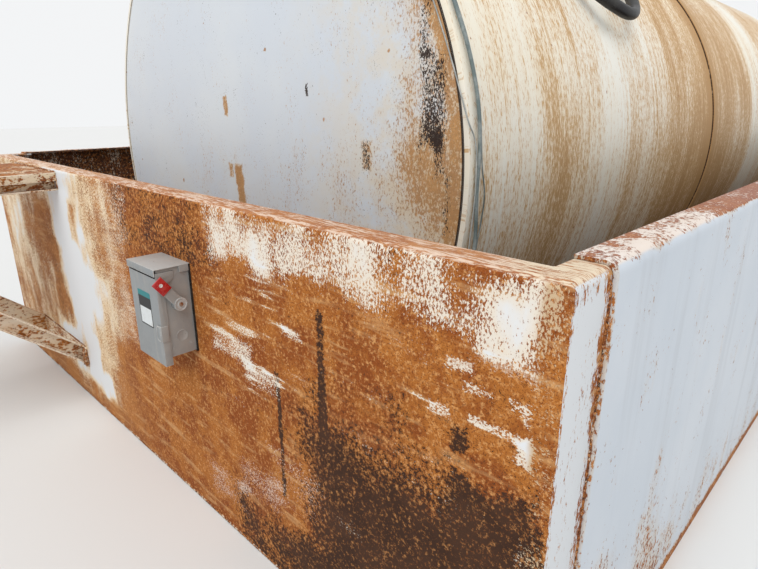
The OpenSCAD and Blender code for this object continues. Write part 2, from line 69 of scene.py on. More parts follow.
lens = bpy.data.cameras.new("camera")
lens.sensor_fit = "HORIZONTAL"
lens.sensor_width = 36.0
lens.lens = 26.424
lens.clip_start = 0.02
lens.clip_end = 200.0
camera = show(bpy.data.objects.new("camera", lens))
camera.location = (1.4779, -2.7625, 0.9912)
camera.rotation_euler = [math.radians(turn) for turn in (72.186, 0.135, 44.315)]
scene.camera = camera

sun = bpy.data.lights.new("soft_lamp", "SUN")
sun.energy = 1.90
sun.angle = math.radians(50)
sun.color = (1.0, 0.985, 0.96)
lamp = show(bpy.data.objects.new("soft_lamp", sun))
lamp.rotation_euler = Vector((0.34, -0.70, 1.15)).to_track_quat("Z", "Y").to_euler()

sky = bpy.data.worlds.new("even_sky")
scene.world = sky
sky.use_nodes = True
sky.node_tree.nodes.clear()
rays = put(sky.node_tree, "LightPath").outputs
seen = put(sky.node_tree, "Math", {0: rays["Is Camera Ray"], 1: rays["Is Glossy Ray"]},
           operation="MAXIMUM")
seen = put(sky.node_tree, "Math", {0: seen.outputs[0], 1: rays["Is Transmission Ray"]},
           operation="MAXIMUM")
even = put(sky.node_tree, "Background", {"Color": (0.95, 0.97, 1.0), "Strength": 0.72})
pale = put(sky.node_tree, "Background", {"Color": (0.90, 0.91, 0.92), "Strength": 1.0})
either = put(sky.node_tree, "MixShader",
             {0: seen.outputs[0], 1: even.outputs[0], 2: pale.outputs[0]})
put(sky.node_tree, "OutputWorld", {"Surface": either.outputs[0]})

ground = bpy.data.meshes.new("studio_floor")
floor_half = 30.0
just_below = -0.0006
corners = [(x * floor_half, y * floor_half, just_below)
           for x, y in ((-1, -1), (1, -1), (1, 1), (-1, 1))]
ground.from_pydata(corners, [], [(0, 1, 2, 3)])
floor_look = bpy.data.materials.new("pale_floor")
floor_look.use_nodes = True
floor_shader = floor_look.node_tree.nodes["Principled BSDF"].inputs
floor_shader["Base Color"].default_value = (0.72, 0.72, 0.71, 1.0)
floor_shader["Roughness"].default_value = 0.9
ground.materials.append(floor_look)
studio_floor = show(bpy.data.objects.new("studio_floor", ground))


# ---------------------------------------------------------------------------
# Hose: black rubber transfer hose, 34 mm outside, about 2 m long. Both its ends
# sit on hose tails on the tank's top line, and it hangs over the right shoulder
# of the shell in one slack loop.
def reckon(tree, how, first, second=0.0):
    return put(tree, "Math", {0: first, 1: second}, operation=how).outputs[0]


def times(tree, first, second):
    return reckon(tree, "MULTIPLY", first, second)


def plus(tree, first, second):
    return reckon(tree, "ADD", first, second)


def minus(tree, first, second):
    return reckon(tree, "SUBTRACT", first, second)


def vectors(tree, how, first, second=(0.0, 0.0, 0.0)):
    return put(tree, "VectorMath", {0: first, 1: second}, operation=how).outputs[0]


def cloud(tree, where, size, detail=5.0, rough=0.6):
    return put(tree, "TexNoise",
               {"Vector": where, "Scale": size, "Detail": detail, "Roughness": rough}).outputs[0]


def stretched(tree, where, by):
    return vectors(tree, "MULTIPLY", where, by)


def step(tree, value, low, high, start=0.0, stop=1.0):
    """A smooth step from start at low to stop at high."""
    given = {0: value, 1: low, 2: high, 3: start, 4: stop}
    return put(tree, "MapRange", given, interpolation_type="SMOOTHSTEP").outputs[0]


def tint(tree, mask, under, over):
    return put(tree, "Mix", {0: mask, 6: under, 7: over}, data_type="RGBA").outputs[2]


def between(tree, mask, under, over):
    return put(tree, "Mix", {0: mask, 2: under, 3: over}, data_type="FLOAT").outputs[0]


def surface(name, **constants):
    """A material with one Principled shader, and the place on the piece."""
    look = bpy.data.materials.new(name)
    look.use_nodes = True
    tree = look.node_tree
    tree.nodes.clear()
    constants = {key.replace("_", " "): value for key, value in constants.items()}
    shader = put(tree, "BsdfPrincipled", constants)
    put(tree, "OutputMaterial", {"Surface": shader.outputs[0]})
    return look, tree, shader, put(tree, "TexCoord").outputs["Object"]


def join(tree, shader, colour=None, rough=None, height=None, depth=0.001, strength=1.0):
    """Joins the colours, roughness and relief to the material's shader."""
    if colour is not None:
        tree.links.new(colour, shader.inputs["Base Color"])
    if rough is not None:
        tree.links.new(rough, shader.inputs["Roughness"])
    if height is not None:
        bump = put(tree, "Bump", {"Height": height, "Distance": depth, "Strength": strength})
        tree.links.new(bump.outputs[0], shader.inputs["Normal"])


def hanging_line(name, points, thick, leaves, enters, look):
    """A round cord on one smooth line through the points."""
    line = bpy.data.curves.new(name, "CURVE")
    line.dimensions = "3D"
    line.resolution_u = 8
    line.bevel_depth = thick / 2
    line.bevel_resolution = 5
    line.use_fill_caps = True
    spline = line.splines.new("BEZIER")
    spline.bezier_points.add(len(points) - 1)
    for knot, point in zip(spline.bezier_points, points):
        knot.co = point
        knot.handle_left_type = knot.handle_right_type = "AUTO"
    for knot, other, way in (
        (spline.bezier_points[0], points[1], Vector(leaves)),
        (spline.bezier_points[-1], points[-2], Vector(enters)),
    ):
        reach = (Vector(other) - knot.co).length / 3
        knot.handle_left_type = knot.handle_right_type = "FREE"
        knot.handle_left = knot.co - way * reach
        knot.handle_right = knot.co + way * reach
    line.materials.append(look)
    return show(bpy.data.objects.new(name, line))


tank_r = 0.819
axis_h = 0.843
tank_top = axis_h + tank_r
front_y = -1.829


def on_shell(y, angle, height):
    turn = math.radians(angle)
    return ((tank_r + height) * math.sin(turn), y, axis_h + (tank_r + height) * math.cos(turn))


rubber, tree, shader, place = surface("black_rubber", Specular_IOR_Level=0.35)
dust = step(tree, cloud(tree, place, 14, 6, 0.65), 0.45, 0.75)
scuff = step(tree, cloud(tree, stretched(tree, place, (3.0, 60.0, 60.0)), 3, 5, 0.7), 0.55, 0.72)
shade = tint(tree, dust, (0.012, 0.012, 0.013), (0.055, 0.053, 0.050))
shade = tint(tree, times(tree, scuff, 0.5), shade, (0.11, 0.105, 0.10))
join(tree, shader, shade, between(tree, dust, 0.42, 0.72), cloud(tree, place, 420, 3), 0.0003, 0.5)

hose_front = -1.500
hose_rear = -0.620
hose_z = tank_top + 0.078
hose_lift = 0.021
hose_route = [
    (0.1103, hose_front, hose_z),
    (0.165, hose_front, hose_z - 0.002),
    (0.225, hose_front + 0.006, hose_z - 0.016),
    on_shell(hose_front + 0.018, 21, hose_lift + 0.030),
    on_shell(hose_front + 0.045, 29, hose_lift + 0.006),
    on_shell(hose_front + 0.090, 37, hose_lift),
    on_shell(hose_front + 0.150, 45, hose_lift),
    on_shell(hose_front + 0.225, 52.5, hose_lift + 0.003),
    on_shell(hose_front + 0.310, 58.5, hose_lift + 0.015),
    on_shell(hose_front + 0.400, 62.2, hose_lift + 0.028),
    on_shell(hose_front + 0.480, 63, hose_lift + 0.030),
    on_shell(hose_front + 0.550, 61.2, hose_lift + 0.022),
    on_shell(hose_front + 0.615, 56.5, hose_lift + 0.009),
    on_shell(hose_front + 0.670, 47, hose_lift + 0.001),
    on_shell(hose_front + 0.725, 36, hose_lift + 0.001),
    on_shell(hose_rear - 0.105, 25, hose_lift + 0.020),
    (0.262, hose_rear - 0.058, hose_z - 0.024),
    (0.205, hose_rear - 0.014, hose_z - 0.004),
    (0.1103, hose_rear, hose_z),
]
transfer_hose = hanging_line("transfer_hose", hose_route, 0.034, (1, 0, 0), (-1, 0, 0), rubber)
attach(transfer_hose, "tank_and_dike")
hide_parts("hose")


# ---------------------------------------------------------------------------
# Gauge cable and two thin wires: grey sheathed signal leads. They leave the
# level gauge's head, run down beside the front ring of the tank, hang inside
# the dike and end in the glands behind the switch.
def plain_finish(name, wear, clean, worn, rough=None, grain=None, **constants):
    """One colour that a cloud of wear dulls. wear is the cloud's size, detail and
    roughness and where it starts and ends; grain is size, detail, depth, strength."""
    look, tree, shader, place = surface(name, **constants)
    dulled = step(tree, cloud(tree, place, *wear[:3]), *wear[3:])
    gloss = between(tree, dulled, *rough) if rough else None
    if grain:
        join(tree, shader, tint(tree, dulled, clean, worn), gloss, cloud(tree, place, *grain[:2]),
             *grain[2:])
    else:
        join(tree, shader, tint(tree, dulled, clean, worn), gloss)
    return look


gauge_y = front_y + 0.129
cord_x = 0.0633
cord_z = tank_top + 0.048
switch_x = 0.287
gland_y = -2.1737
gland_z = 0.548

sheath = plain_finish("worn_grey_sheath", (22, 6, 0.7, 0.42, 0.70), (0.13, 0.17, 0.17),
                      (0.34, 0.37, 0.36), (0.38, 0.65), (300, 3, 0.0002, 0.5))
pale_sheath = plain_finish("weathered_pale_sheath", (25, 6, 0.7, 0.42, 0.70), (0.30, 0.32, 0.31),
                           (0.55, 0.55, 0.52), (0.42, 0.7), (300, 3, 0.0002, 0.5))

cable_route = [
    (cord_x, gauge_y, cord_z),
    (0.094, gauge_y - 0.006, cord_z - 0.002),
    (0.128, gauge_y - 0.020, cord_z - 0.014),
    on_shell(gauge_y - 0.042, 12, 0.014),
    on_shell(gauge_y - 0.062, 19, 0.009),
    on_shell(front_y + 0.044, 29, 0.009),
    on_shell(front_y + 0.028, 40, 0.009),
    on_shell(front_y + 0.016, 50, 0.009),
    on_shell(front_y + 0.012, 59, 0.009),
    on_shell(front_y + 0.014, 67, 0.009),
    on_shell(front_y + 0.024, 75, 0.009),
    on_shell(front_y + 0.025, 83, 0.009),
    (tank_r + 0.006, front_y + 0.020, axis_h - 0.020),
    (tank_r + 0.006, front_y + 0.022, axis_h - 0.130),
    (tank_r - 0.002, front_y + 0.006, axis_h - 0.270),
    (0.760, front_y - 0.070, 0.470),
    (0.610, front_y - 0.190, 0.425),
    (0.430, front_y - 0.290, 0.460),
    (0.310, gland_y + 0.036, gland_z - 0.016),
    (switch_x, gland_y, gland_z),
]
front_wire_route = [
    (cord_x, gauge_y - 0.022, cord_z),
    (0.092, gauge_y - 0.034, cord_z - 0.002),
    (0.126, gauge_y - 0.054, cord_z - 0.016),
    on_shell(front_y + 0.050, 13, 0.010),
    on_shell(front_y + 0.030, 21, 0.006),
    on_shell(front_y + 0.014, 30, 0.006),
    on_shell(front_y + 0.003, 38, 0.006),
    on_shell(front_y - 0.003, 43, 0.004),
    on_shell(front_y - 0.003, 50, -0.009),
    on_shell(front_y - 0.003, 58, -0.021),
    on_shell(front_y - 0.003, 66, -0.024),
    on_shell(front_y - 0.003, 73, -0.018),
    on_shell(front_y - 0.003, 79, -0.006),
    on_shell(front_y - 0.003, 82, 0.004),
    on_shell(front_y + 0.010, 84, 0.006),
    on_shell(front_y + 0.015, 89, 0.006),
    (tank_r, front_y + 0.012, axis_h - 0.120),
    (tank_r - 0.006, front_y - 0.002, axis_h - 0.250),
    (0.730, front_y - 0.135, 0.455),
    (0.550, front_y - 0.265, 0.405),
    (0.390, front_y - 0.330, 0.480),
    (switch_x + 0.030, gland_y, gland_z),
]
rear_wire_route = [
    (cord_x, gauge_y + 0.022, cord_z),
    (0.094, gauge_y + 0.014, cord_z - 0.002),
    (0.128, gauge_y - 0.004, cord_z - 0.016),
    on_shell(gauge_y - 0.026, 13, 0.009),
    on_shell(gauge_y - 0.048, 21, 0.006),
    on_shell(front_y + 0.061, 31, 0.006),
    on_shell(front_y + 0.048, 42, 0.006),
    on_shell(front_y + 0.036, 53, 0.006),
    on_shell(front_y + 0.025, 65, 0.006),
    on_shell(front_y + 0.032, 74, 0.006),
    on_shell(front_y + 0.032, 83, 0.006),
    on_shell(front_y + 0.036, 88, 0.006),
    on_shell(front_y + 0.049, 92, 0.006),
    on_shell(front_y + 0.052, 95, 0.004),
    (tank_r - 0.003, front_y + 0.040, axis_h - 0.145),
    (tank_r - 0.010, front_y + 0.022, axis_h - 0.290),
    (0.700, front_y - 0.110, 0.430),
    (0.480, front_y - 0.250, 0.420),
    (0.300, front_y - 0.308, 0.500),
    (switch_x - 0.030, gland_y, gland_z),
]
for name, node, route, thick, length, look in (
    ("signal_cable", "gauge_cable", cable_route, 0.008, 2.29, sheath),
    ("loop_wire_front", "front_wire", front_wire_route, 0.003, 2.26, pale_sheath),
    ("loop_wire_rear", "rear_wire", rear_wire_route, 0.003, 2.33, sheath),
):
    lead = hanging_line(name, route, thick, (1, 0, 0), (0, -1, 0), look)
    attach(lead, "tank_and_dike")
    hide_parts(node)


# ---------------------------------------------------------------------------
# Front wall: quarter inch plate bent in along its top and round both corners.
# Its white paint has mostly gone to rust: brown and flaking in the middle,
# nearly black low on the right, white with rust runs on the left.
def effect(name, takes, gives, make):
    """A shader node group that several of this object's finishes share."""
    group = bpy.data.node_groups.new(name, "ShaderNodeTree")
    for label, start in takes.items():
        kind = "NodeSocketVector" if isinstance(start, tuple) else "NodeSocketFloat"
        socket = group.interface.new_socket(name=label, in_out="INPUT", socket_type=kind)
        socket.default_value = start
    for label, kind in gives.items():
        group.interface.new_socket(name=label, in_out="OUTPUT", socket_type="NodeSocket" + kind)
    taken = group.nodes.new("NodeGroupInput").outputs
    given = group.nodes.new("NodeGroupOutput").inputs
    for label, socket in make(group, taken).items():
        group.links.new(socket, given[label])
    return group


def use(tree, group, **given):
    node = put(tree, "Group", node_tree=group)
    for key, value in given.items():
        if isinstance(value, bpy.types.NodeSocket):
            tree.links.new(value, node.inputs[key])
        else:
            node.inputs[key].default_value = value
    return node.outputs


def make_flaking(tree, takes):
    """Speckled loss of paint over the share Amount of the surface."""
    broad = cloud(tree, stretched(tree, takes["Place"], takes["Stretch"]), 1.0, 5, 0.6)
    sway = times(tree, minus(tree, broad, 0.5), takes["Spread"])
    field = plus(tree, takes["Amount"], sway)
    grain = cloud(tree, stretched(tree, takes["Place"], takes["Grain"]), 1.0, 5, 0.72)
    level = minus(tree, 0.68, times(tree, field, 0.36))
    rise = minus(tree, grain, level)
    low = times(tree, takes["Soft"], -1.0)
    return {"Mask": step(tree, rise, low, takes["Soft"]), "Field": field}


def make_rust(tree, takes):
    """Layered rust: brown scale with orange grains and black pits."""
    broad = cloud(tree, takes["Place"], takes["Size"], 4, 0.6)
    fine = cloud(tree, takes["Place"], times(tree, takes["Size"], 11.0), 4, 0.7)
    pits = cloud(tree, takes["Place"], times(tree, takes["Size"], 25.0), 3, 0.7)
    shade = tint(tree, step(tree, broad, 0.40, 0.60), (0.430, 0.150, 0.028), (0.270, 0.070, 0.012))
    shade = tint(tree, step(tree, fine, 0.50, 0.66, 0.0, 0.80), shade, (0.66, 0.33, 0.12))
    shade = tint(tree, step(tree, pits, 0.50, 0.62, 0.0, 0.80), shade, (0.140, 0.036, 0.009))
    edge = plus(tree, 0.30, times(tree, takes["Dark"], 0.42))
    mixed = between(tree, 0.5, fine, pits)
    gloom = step(tree, minus(tree, mixed, edge), -0.035, 0.035, 1.0, 0.0)
    soot = tint(tree, step(tree, broad, 0.42, 0.6), (0.030, 0.014, 0.009), (0.052, 0.024, 0.014))
    return {"Colour": tint(tree, gloom, shade, soot), "Height": between(tree, 0.5, broad, mixed)}


def make_flecks(tree, takes):
    """Small round rust spots of mixed size."""
    wander = put(tree, "TexNoise",
                 {"Vector": takes["Place"], "Scale": 70.0, "Detail": 2.0}).outputs["Color"]
    spot = vectors(tree, "ADD", takes["Place"], stretched(tree, wander, (0.012,) * 3))
    cells = put(tree, "TexVoronoi", {"Vector": spot, "Scale": takes["Size"]})
    luck = put(tree, "SeparateColor", {0: cells.outputs["Color"]}).outputs[0]
    radius = times(tree, reckon(tree, "POWER", luck, 4.0), takes["Amount"])
    core = times(tree, radius, 0.6)
    wide = times(tree, radius, 2.2)
    return {
        "Mask": step(tree, cells.outputs["Distance"], core, radius, 1.0, 0.0),
        "Halo": step(tree, cells.outputs["Distance"], 0.0, wide, 1.0, 0.0),
    }


def axes_of(tree, vector):
    return put(tree, "SeparateXYZ", {0: vector}).outputs


def way_out(tree):
    """The way the surface faces."""
    return put(tree, "NewGeometry").outputs["Normal"]


def make_zone(tree, takes):
    """One box on the surface with a soft edge, 1 inside and 0 outside."""
    spot = vectors(tree, "SUBTRACT", takes["Place"], takes["Middle"])
    spot = vectors(tree, "ABSOLUTE", spot)
    spot = vectors(tree, "SUBTRACT", spot, takes["Half"])
    apart = axes_of(tree, spot)
    out = reckon(tree, "MAXIMUM", apart[0], reckon(tree, "MAXIMUM", apart[1], apart[2]))
    return {"Mask": step(tree, out, 0.0, takes["Soft"], 1.0, 0.0)}


flaking = effect(
    "paint_flaking",
    {"Place": (0, 0, 0), "Stretch": (6, 6, 6), "Grain": (90, 90, 90), "Spread": 1.5, "Amount": 0.3,
     "Soft": 0.02},
    {"Mask": "Float", "Field": "Float"}, make_flaking)
rust = effect("layered_rust", {"Place": (0, 0, 0), "Size": 9.0, "Dark": 0.0},
              {"Colour": "Color", "Height": "Float"}, make_rust)
flecks = effect("rust_flecks", {"Place": (0, 0, 0), "Size": 40.0, "Amount": 0.3},
                {"Mask": "Float", "Halo": "Float"}, make_flecks)
zone = effect("soft_zone",
              {"Place": (0, 0, 0), "Middle": (0, 0, 0), "Half": (1, 1, 1), "Soft": 0.05},
              {"Mask": "Float"}, make_zone)


def wandered(tree, place, size, much):
    """The place shifted a little by noise, so that zones get ragged edges."""
    noisy = put(tree, "TexNoise", {"Vector": place, "Scale": size, "Detail": 5.0}).outputs["Color"]
    noisy = vectors(tree, "SUBTRACT", noisy, (0.5, 0.5, 0.5))
    return vectors(tree, "ADD", place, stretched(tree, noisy, (much,) * 3))


def add_zones(tree, place, start, zones):
    """Adds each zone's weight to a value, from (middle, half, soft, weight)."""
    total = start
    for middle, half, soft, weight in zones:
        mask = use(tree, zone, Place=place, Middle=middle, Half=half, Soft=soft)["Mask"]
        total = plus(tree, total, times(tree, mask, weight))
    return total


def face_zones(tree, place, start, y, rows):
    """The same on an upright face at y, from (x, z, half x, half z, soft, weight)."""
    return add_zones(tree, place, start, [
        ((x, y, z), (half_x, 1.0, half_z), soft, weight)
        for x, z, half_x, half_z, soft, weight in rows])


wall_y = -2.210
front_paint, tree, shader, place = surface("rusted_front_paint", Specular_IOR_Level=0.2)
loose = wandered(tree, place, 8.0, 0.10)
tight = wandered(tree, place, 20.0, 0.016)
loss = face_zones(tree, loose, 1.12, wall_y, [
    (0.808, 0.758, 0.375, 0.038, 0.040, -0.52),
    (0.590, 0.715, 0.120, 0.030, 0.060, -0.22),
    (1.150, 0.740, 0.022, 0.030, 0.030, -0.30),
    (0.930, 0.745, 0.080, 0.020, 0.050, -0.12),
    (1.217, 0.400, 0.008, 0.420, 0.024, -0.42),
    (0.430, 0.125, 0.050, 0.016, 0.070, -0.38),
    (0.560, 0.185, 0.050, 0.016, 0.070, -0.42),
    (0.700, 0.265, 0.050, 0.016, 0.070, -0.38),
    (-0.800, 0.420, 0.360, 0.420, 0.260, -0.58),
    (-0.300, 0.600, 0.250, 0.190, 0.140, -0.52),
    (-0.380, 0.280, 0.130, 0.200, 0.200, -0.44),
    (-0.475, 0.700, 0.026, 0.080, 0.040, -0.36),
    (-0.400, 0.480, 0.014, 0.060, 0.034, -0.30),
    (-0.430, 0.285, 0.014, 0.030, 0.034, -0.30),
    (-0.390, 0.200, 0.026, 0.060, 0.040, -0.40),
    (-0.310, 0.100, 0.030, 0.024, 0.040, -0.50),
    (-1.080, 0.600, 0.070, 0.130, 0.080, -0.22),
    (-0.620, 0.236, 0.080, 0.014, 0.040, -0.42),
    (-0.660, 0.600, 0.034, 0.060, 0.060, 0.50),
    (-0.605, 0.430, 0.034, 0.090, 0.060, 0.56),
    (-0.600, 0.310, 0.040, 0.040, 0.060, 0.46),
    (-0.387, 0.640, 0.010, 0.050, 0.040, 0.40),
    (-0.240, 0.560, 0.080, 0.014, 0.050, 0.34),
    (-0.780, 0.520, 0.050, 0.090, 0.080, 0.24),
    (-0.700, 0.025, 0.500, 0.020, 0.050, 0.60),
])
loss = face_zones(tree, tight, loss, wall_y, [
    (0.500, 0.506, 0.060, 0.008, 0.034, -0.54),
    (0.610, 0.466, 0.050, 0.008, 0.034, -0.54),
    (0.740, 0.514, 0.040, 0.005, 0.024, -0.44),
    (0.715, 0.600, 0.022, 0.003, 0.016, -0.60),
    (1.085, 0.665, 0.016, 0.003, 0.014, -0.62),
    (1.120, 0.637, 0.018, 0.003, 0.014, -0.60),
    (1.178, 0.632, 0.008, 0.008, 0.014, -0.60),
    (1.055, 0.586, 0.012, 0.003, 0.016, -0.62),
    (1.150, 0.592, 0.042, 0.002, 0.012, -0.68),
    (1.188, 0.572, 0.006, 0.010, 0.014, -0.68),
])
scored = step(tree, cloud(tree, stretched(tree, place, (5.0, 5.0, 40.0)), 1.0, 4, 0.6), 0.52, 0.66)
belt = face_zones(tree, loose, 0.0, wall_y, [
    (1.100, 0.640, 0.060, 0.040, 0.060, 0.60),
    (0.550, 0.560, 0.120, 0.100, 0.100, 0.46),
    (0.850, 0.560, 0.200, 0.060, 0.100, 0.26),
])
loss = minus(tree, loss, times(tree, scored, belt))
gloom = face_zones(tree, loose, 0.21, wall_y, [
    (1.030, 0.165, 0.150, 0.130, 0.250, 0.46),
    (0.760, 0.040, 0.220, 0.030, 0.140, 0.30),
    (1.140, 0.380, 0.040, 0.100, 0.070, 0.24),
    (0.960, 0.470, 0.160, 0.040, 0.110, 0.10),
    (-0.610, 0.440, 0.030, 0.150, 0.060, 0.16),
    (0.200, 0.735, 0.200, 0.050, 0.120, 0.20),
])
gloom = face_zones(tree, tight, gloom, wall_y, [
    (0.797, 0.520, 0.0050, 0.140, 0.010, 0.34),
    (0.664, 0.360, 0.0025, 0.140, 0.008, 0.34),
    (1.090, 0.555, 0.0060, 0.012, 0.016, 0.30),
])
gloom = plus(tree, gloom, times(tree, minus(tree, cloud(tree, place, 13.0, 5, 0.65), 0.5), 0.55))
gloom = reckon(tree, "MINIMUM", gloom, 0.61)
across = use(tree, flaking, Place=place, Stretch=(4.5, 4.5, 17.0), Grain=(210.0, 210.0, 290.0),
             Spread=1.5, Amount=loss, Soft=0.025)
down = use(tree, flaking, Place=place, Stretch=(14.0, 14.0, 6.0), Grain=(290.0, 290.0, 160.0),
           Spread=1.5, Amount=loss, Soft=0.025)
spread_out = axes_of(tree, place)
leftward = step(tree, spread_out[0], -0.25, 0.10, 1.0, 0.0)
hung = reckon(tree, "MAXIMUM", leftward, step(tree, spread_out[2], 0.65, 0.70))
bare = between(tree, hung, across["Mask"], down["Mask"])
field = between(tree, hung, across["Field"], down["Field"])

facing = axes_of(tree, way_out(tree))
sideways = step(tree, reckon(tree, "ABSOLUTE", facing[0]), 0.55, 0.80)
upwards = step(tree, facing[2], 0.55, 0.80)
inward = step(tree, facing[1], 0.5, 0.8)
return_loss = add_zones(tree, tight, 0.02, [
    ((0.0, -2.116, 0.4), (2.0, 0.004, 1.0), 0.020, 0.46),
    ((0.0, -2.209, 0.4), (2.0, 0.002, 1.0), 0.008, 0.44),
    ((0.0, -2.160, 0.80), (2.0, 0.08, 0.008), 0.03, 0.30),
    ((0.0, -2.130, 0.66), (2.0, 0.01, 0.060), 0.04, 0.24),
    ((0.0, -2.160, 0.01), (2.0, 0.08, 0.010), 0.04, 0.30),
])
edge_rust = use(tree, flaking, Place=place, Stretch=(26.0, 26.0, 5.0), Grain=(260.0, 260.0, 75.0),
                Spread=1.3, Amount=return_loss, Soft=0.03)
top_loss = add_zones(tree, loose, 0.58, [
    ((1.20, -2.16, 0.8), (0.05, 0.06, 0.1), 0.05, -0.16),
    ((-0.8, -2.19, 0.8), (0.40, 0.1, 0.1), 0.20, -0.12),
])
top_rust = use(tree, flaking, Place=place, Stretch=(7.0, 40.0, 10.0), Grain=(34.0, 260.0, 90.0),
               Spread=1.2, Amount=top_loss, Soft=0.05)
bare = between(tree, sideways, bare, edge_rust["Mask"])
bare = between(tree, upwards, bare, top_rust["Mask"])
field = between(tree, sideways, field, edge_rust["Field"])
bare = reckon(tree, "MAXIMUM", bare, times(tree, inward, 0.85))
level_face = minus(tree, 1.0, reckon(tree, "MAXIMUM", sideways, upwards))
gloom = times(tree, gloom, level_face)

sound = step(tree, field, 0.0, 0.36, 1.0, 0.0)
worn_paint = tint(tree, leftward, (0.77, 0.69, 0.58), (0.78, 0.62, 0.41))
paint = tint(tree, sound, worn_paint, (0.74, 0.76, 0.78))
corner = step(tree, axes_of(tree, tight)[0], 1.188, 1.204)
paint = tint(tree, times(tree, corner, level_face), paint, (0.58, 0.42, 0.26))
pinkish = face_zones(tree, loose, 0.0, wall_y, [
    (0.430, 0.125, 0.090, 0.040, 0.06, 1.0),
    (0.640, 0.215, 0.150, 0.060, 0.06, 1.0),
])
paint = tint(tree, times(tree, pinkish, level_face), paint, (0.60, 0.45, 0.37))
paint = tint(tree, sideways, paint, (0.67, 0.69, 0.71))
corner_top = use(tree, zone, Place=loose, Middle=(1.20, -2.14, 0.8), Half=(0.035, 0.05, 0.1),
                 Soft=0.05)["Mask"]
paint = tint(tree, upwards, paint, tint(tree, corner_top, (0.70, 0.53, 0.41), (0.74, 0.62, 0.46)))
layers = use(tree, rust, Place=place, Size=12.0, Dark=gloom)
scale = tint(tree, step(tree, gloom, 0.40, 0.60, 0.0, 0.28), layers["Colour"],
             (0.085, 0.036, 0.017))
scale = tint(tree, times(tree, scored, step(tree, gloom, 0.26, 0.44, 0.50, 0.0)), scale,
             (0.64, 0.38, 0.17))
scale = tint(tree, times(tree, upwards, 0.55), scale, (0.46, 0.215, 0.110))
scale = tint(tree, times(tree, leftward, 0.25), scale, (0.50, 0.26, 0.10))
shade = tint(tree, bare, paint, scale)
relief = {"Height": layers["Height"], "Distance": 0.0014, "Strength": 0.7}
rough_face = put(tree, "Bump", relief).outputs[0]
either_face = {0: bare, 4: way_out(tree), 5: rough_face}
turned_face = put(tree, "Mix", either_face, data_type="VECTOR").outputs[1]
turned_face = vectors(tree, "NORMALIZE", turned_face)
tree.links.new(turned_face, shader.inputs["Normal"])
join(tree, shader, shade, between(tree, bare, 0.52, 0.88))


def made(name, mesh, looks, body="tank_and_dike", sharp=None, stands_for=None):
    """The finished piece from its mesh. Edges over the angle sharp stay crisp."""
    data = bpy.data.meshes.new(name)
    mesh.to_mesh(data)
    mesh.free()
    for look in looks:
        data.materials.append(look)
    if sharp:
        for face in data.polygons:
            face.use_smooth = True
        data.set_sharp_from_angle(angle=math.radians(sharp))
    piece = show(bpy.data.objects.new(name, data))
    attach(piece, body)
    if stands_for:
        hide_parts(stands_for)
    return piece


def softened(node, name, width, look, body="tank_and_dike", angle=30.0,
             edge_highlight=None, inside=None, within=None):
    """A copy of a CAD node with its sharp edges eased, which stands for it."""
    mesh = bmesh.new()
    mesh.from_mesh(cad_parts[node].data)
    bmesh.ops.remove_doubles(mesh, verts=mesh.verts, dist=1e-6)
    bmesh.ops.dissolve_limit(mesh, angle_limit=math.radians(1.0), verts=mesh.verts,
                             edges=mesh.edges)
    for face in mesh.faces:
        face.material_index = 0
    sharp = [edge for edge in mesh.edges
             if len(edge.link_faces) == 2 and edge.calc_face_angle(0.0) > math.radians(angle)]
    # The eased edges take the second finish when one is given: a lighter colour that stands for a
    # painted highlight along the edges.
    bmesh.ops.bevel(mesh, geom=sharp, offset=width, segments=2, profile=0.6, affect="EDGES",
                    clamp_overlap=True, offset_type="OFFSET", loop_slide=True,
                    material=1 if edge_highlight else -1)
    if inside:
        for face in mesh.faces:
            if within(face.calc_center_median(), face.normal):
                face.material_index = 2
    return made(name, mesh, [each for each in (look, edge_highlight, inside) if each], body, 32, node)


softened("front_wall", "front_wall_plate", 0.0012, front_paint)


# ---------------------------------------------------------------------------
# Rear and side walls and floor: the same plate in pale blue-white paint, which
# has held better. Rust flecks come through it, runs start from the top bend
# and the foot, and the top flange is scoured.
def weathered(name, fresh, faded, stain, loss, stretch=(9.0, 9.0, 4.0), spread=1.4,
              grain=(150.0, 150.0, 100.0), dark=0.30, fleck_size=45.0, rust_size=10.0,
              sheen=0.45, stained=0.6):
    """Old paint over steel. loss is the share of bare rust, plain or by place."""
    look, tree, shader, place = surface(name, Specular_IOR_Level=0.4)
    share = loss(tree, place) if callable(loss) else loss
    patch = use(tree, flaking, Place=place, Stretch=stretch, Grain=grain, Spread=spread,
                Amount=share, Soft=0.022)
    dots = use(tree, flecks, Place=place, Size=fleck_size, Amount=0.22)
    wash = step(tree, cloud(tree, place, 2.3, 6, 0.62), 0.33, 0.67)
    paint = tint(tree, wash, fresh, faded)
    paint = tint(tree, step(tree, patch["Field"], 0.05, 0.75, 0.0, stained), paint, stain)
    paint = tint(tree, times(tree, dots["Halo"], 0.35), paint, stain)
    gone = reckon(tree, "MAXIMUM", patch["Mask"], dots["Mask"])
    layers = use(tree, rust, Place=place, Size=rust_size, Dark=dark)
    relief = between(tree, gone, 0.85, times(tree, layers["Height"], 0.9))
    relief = plus(tree, relief, times(tree, wash, 0.5))
    join(tree, shader, tint(tree, gone, paint, layers["Colour"]), between(tree, gone, sheen, 0.88),
         relief, 0.0012, 0.7)
    return look


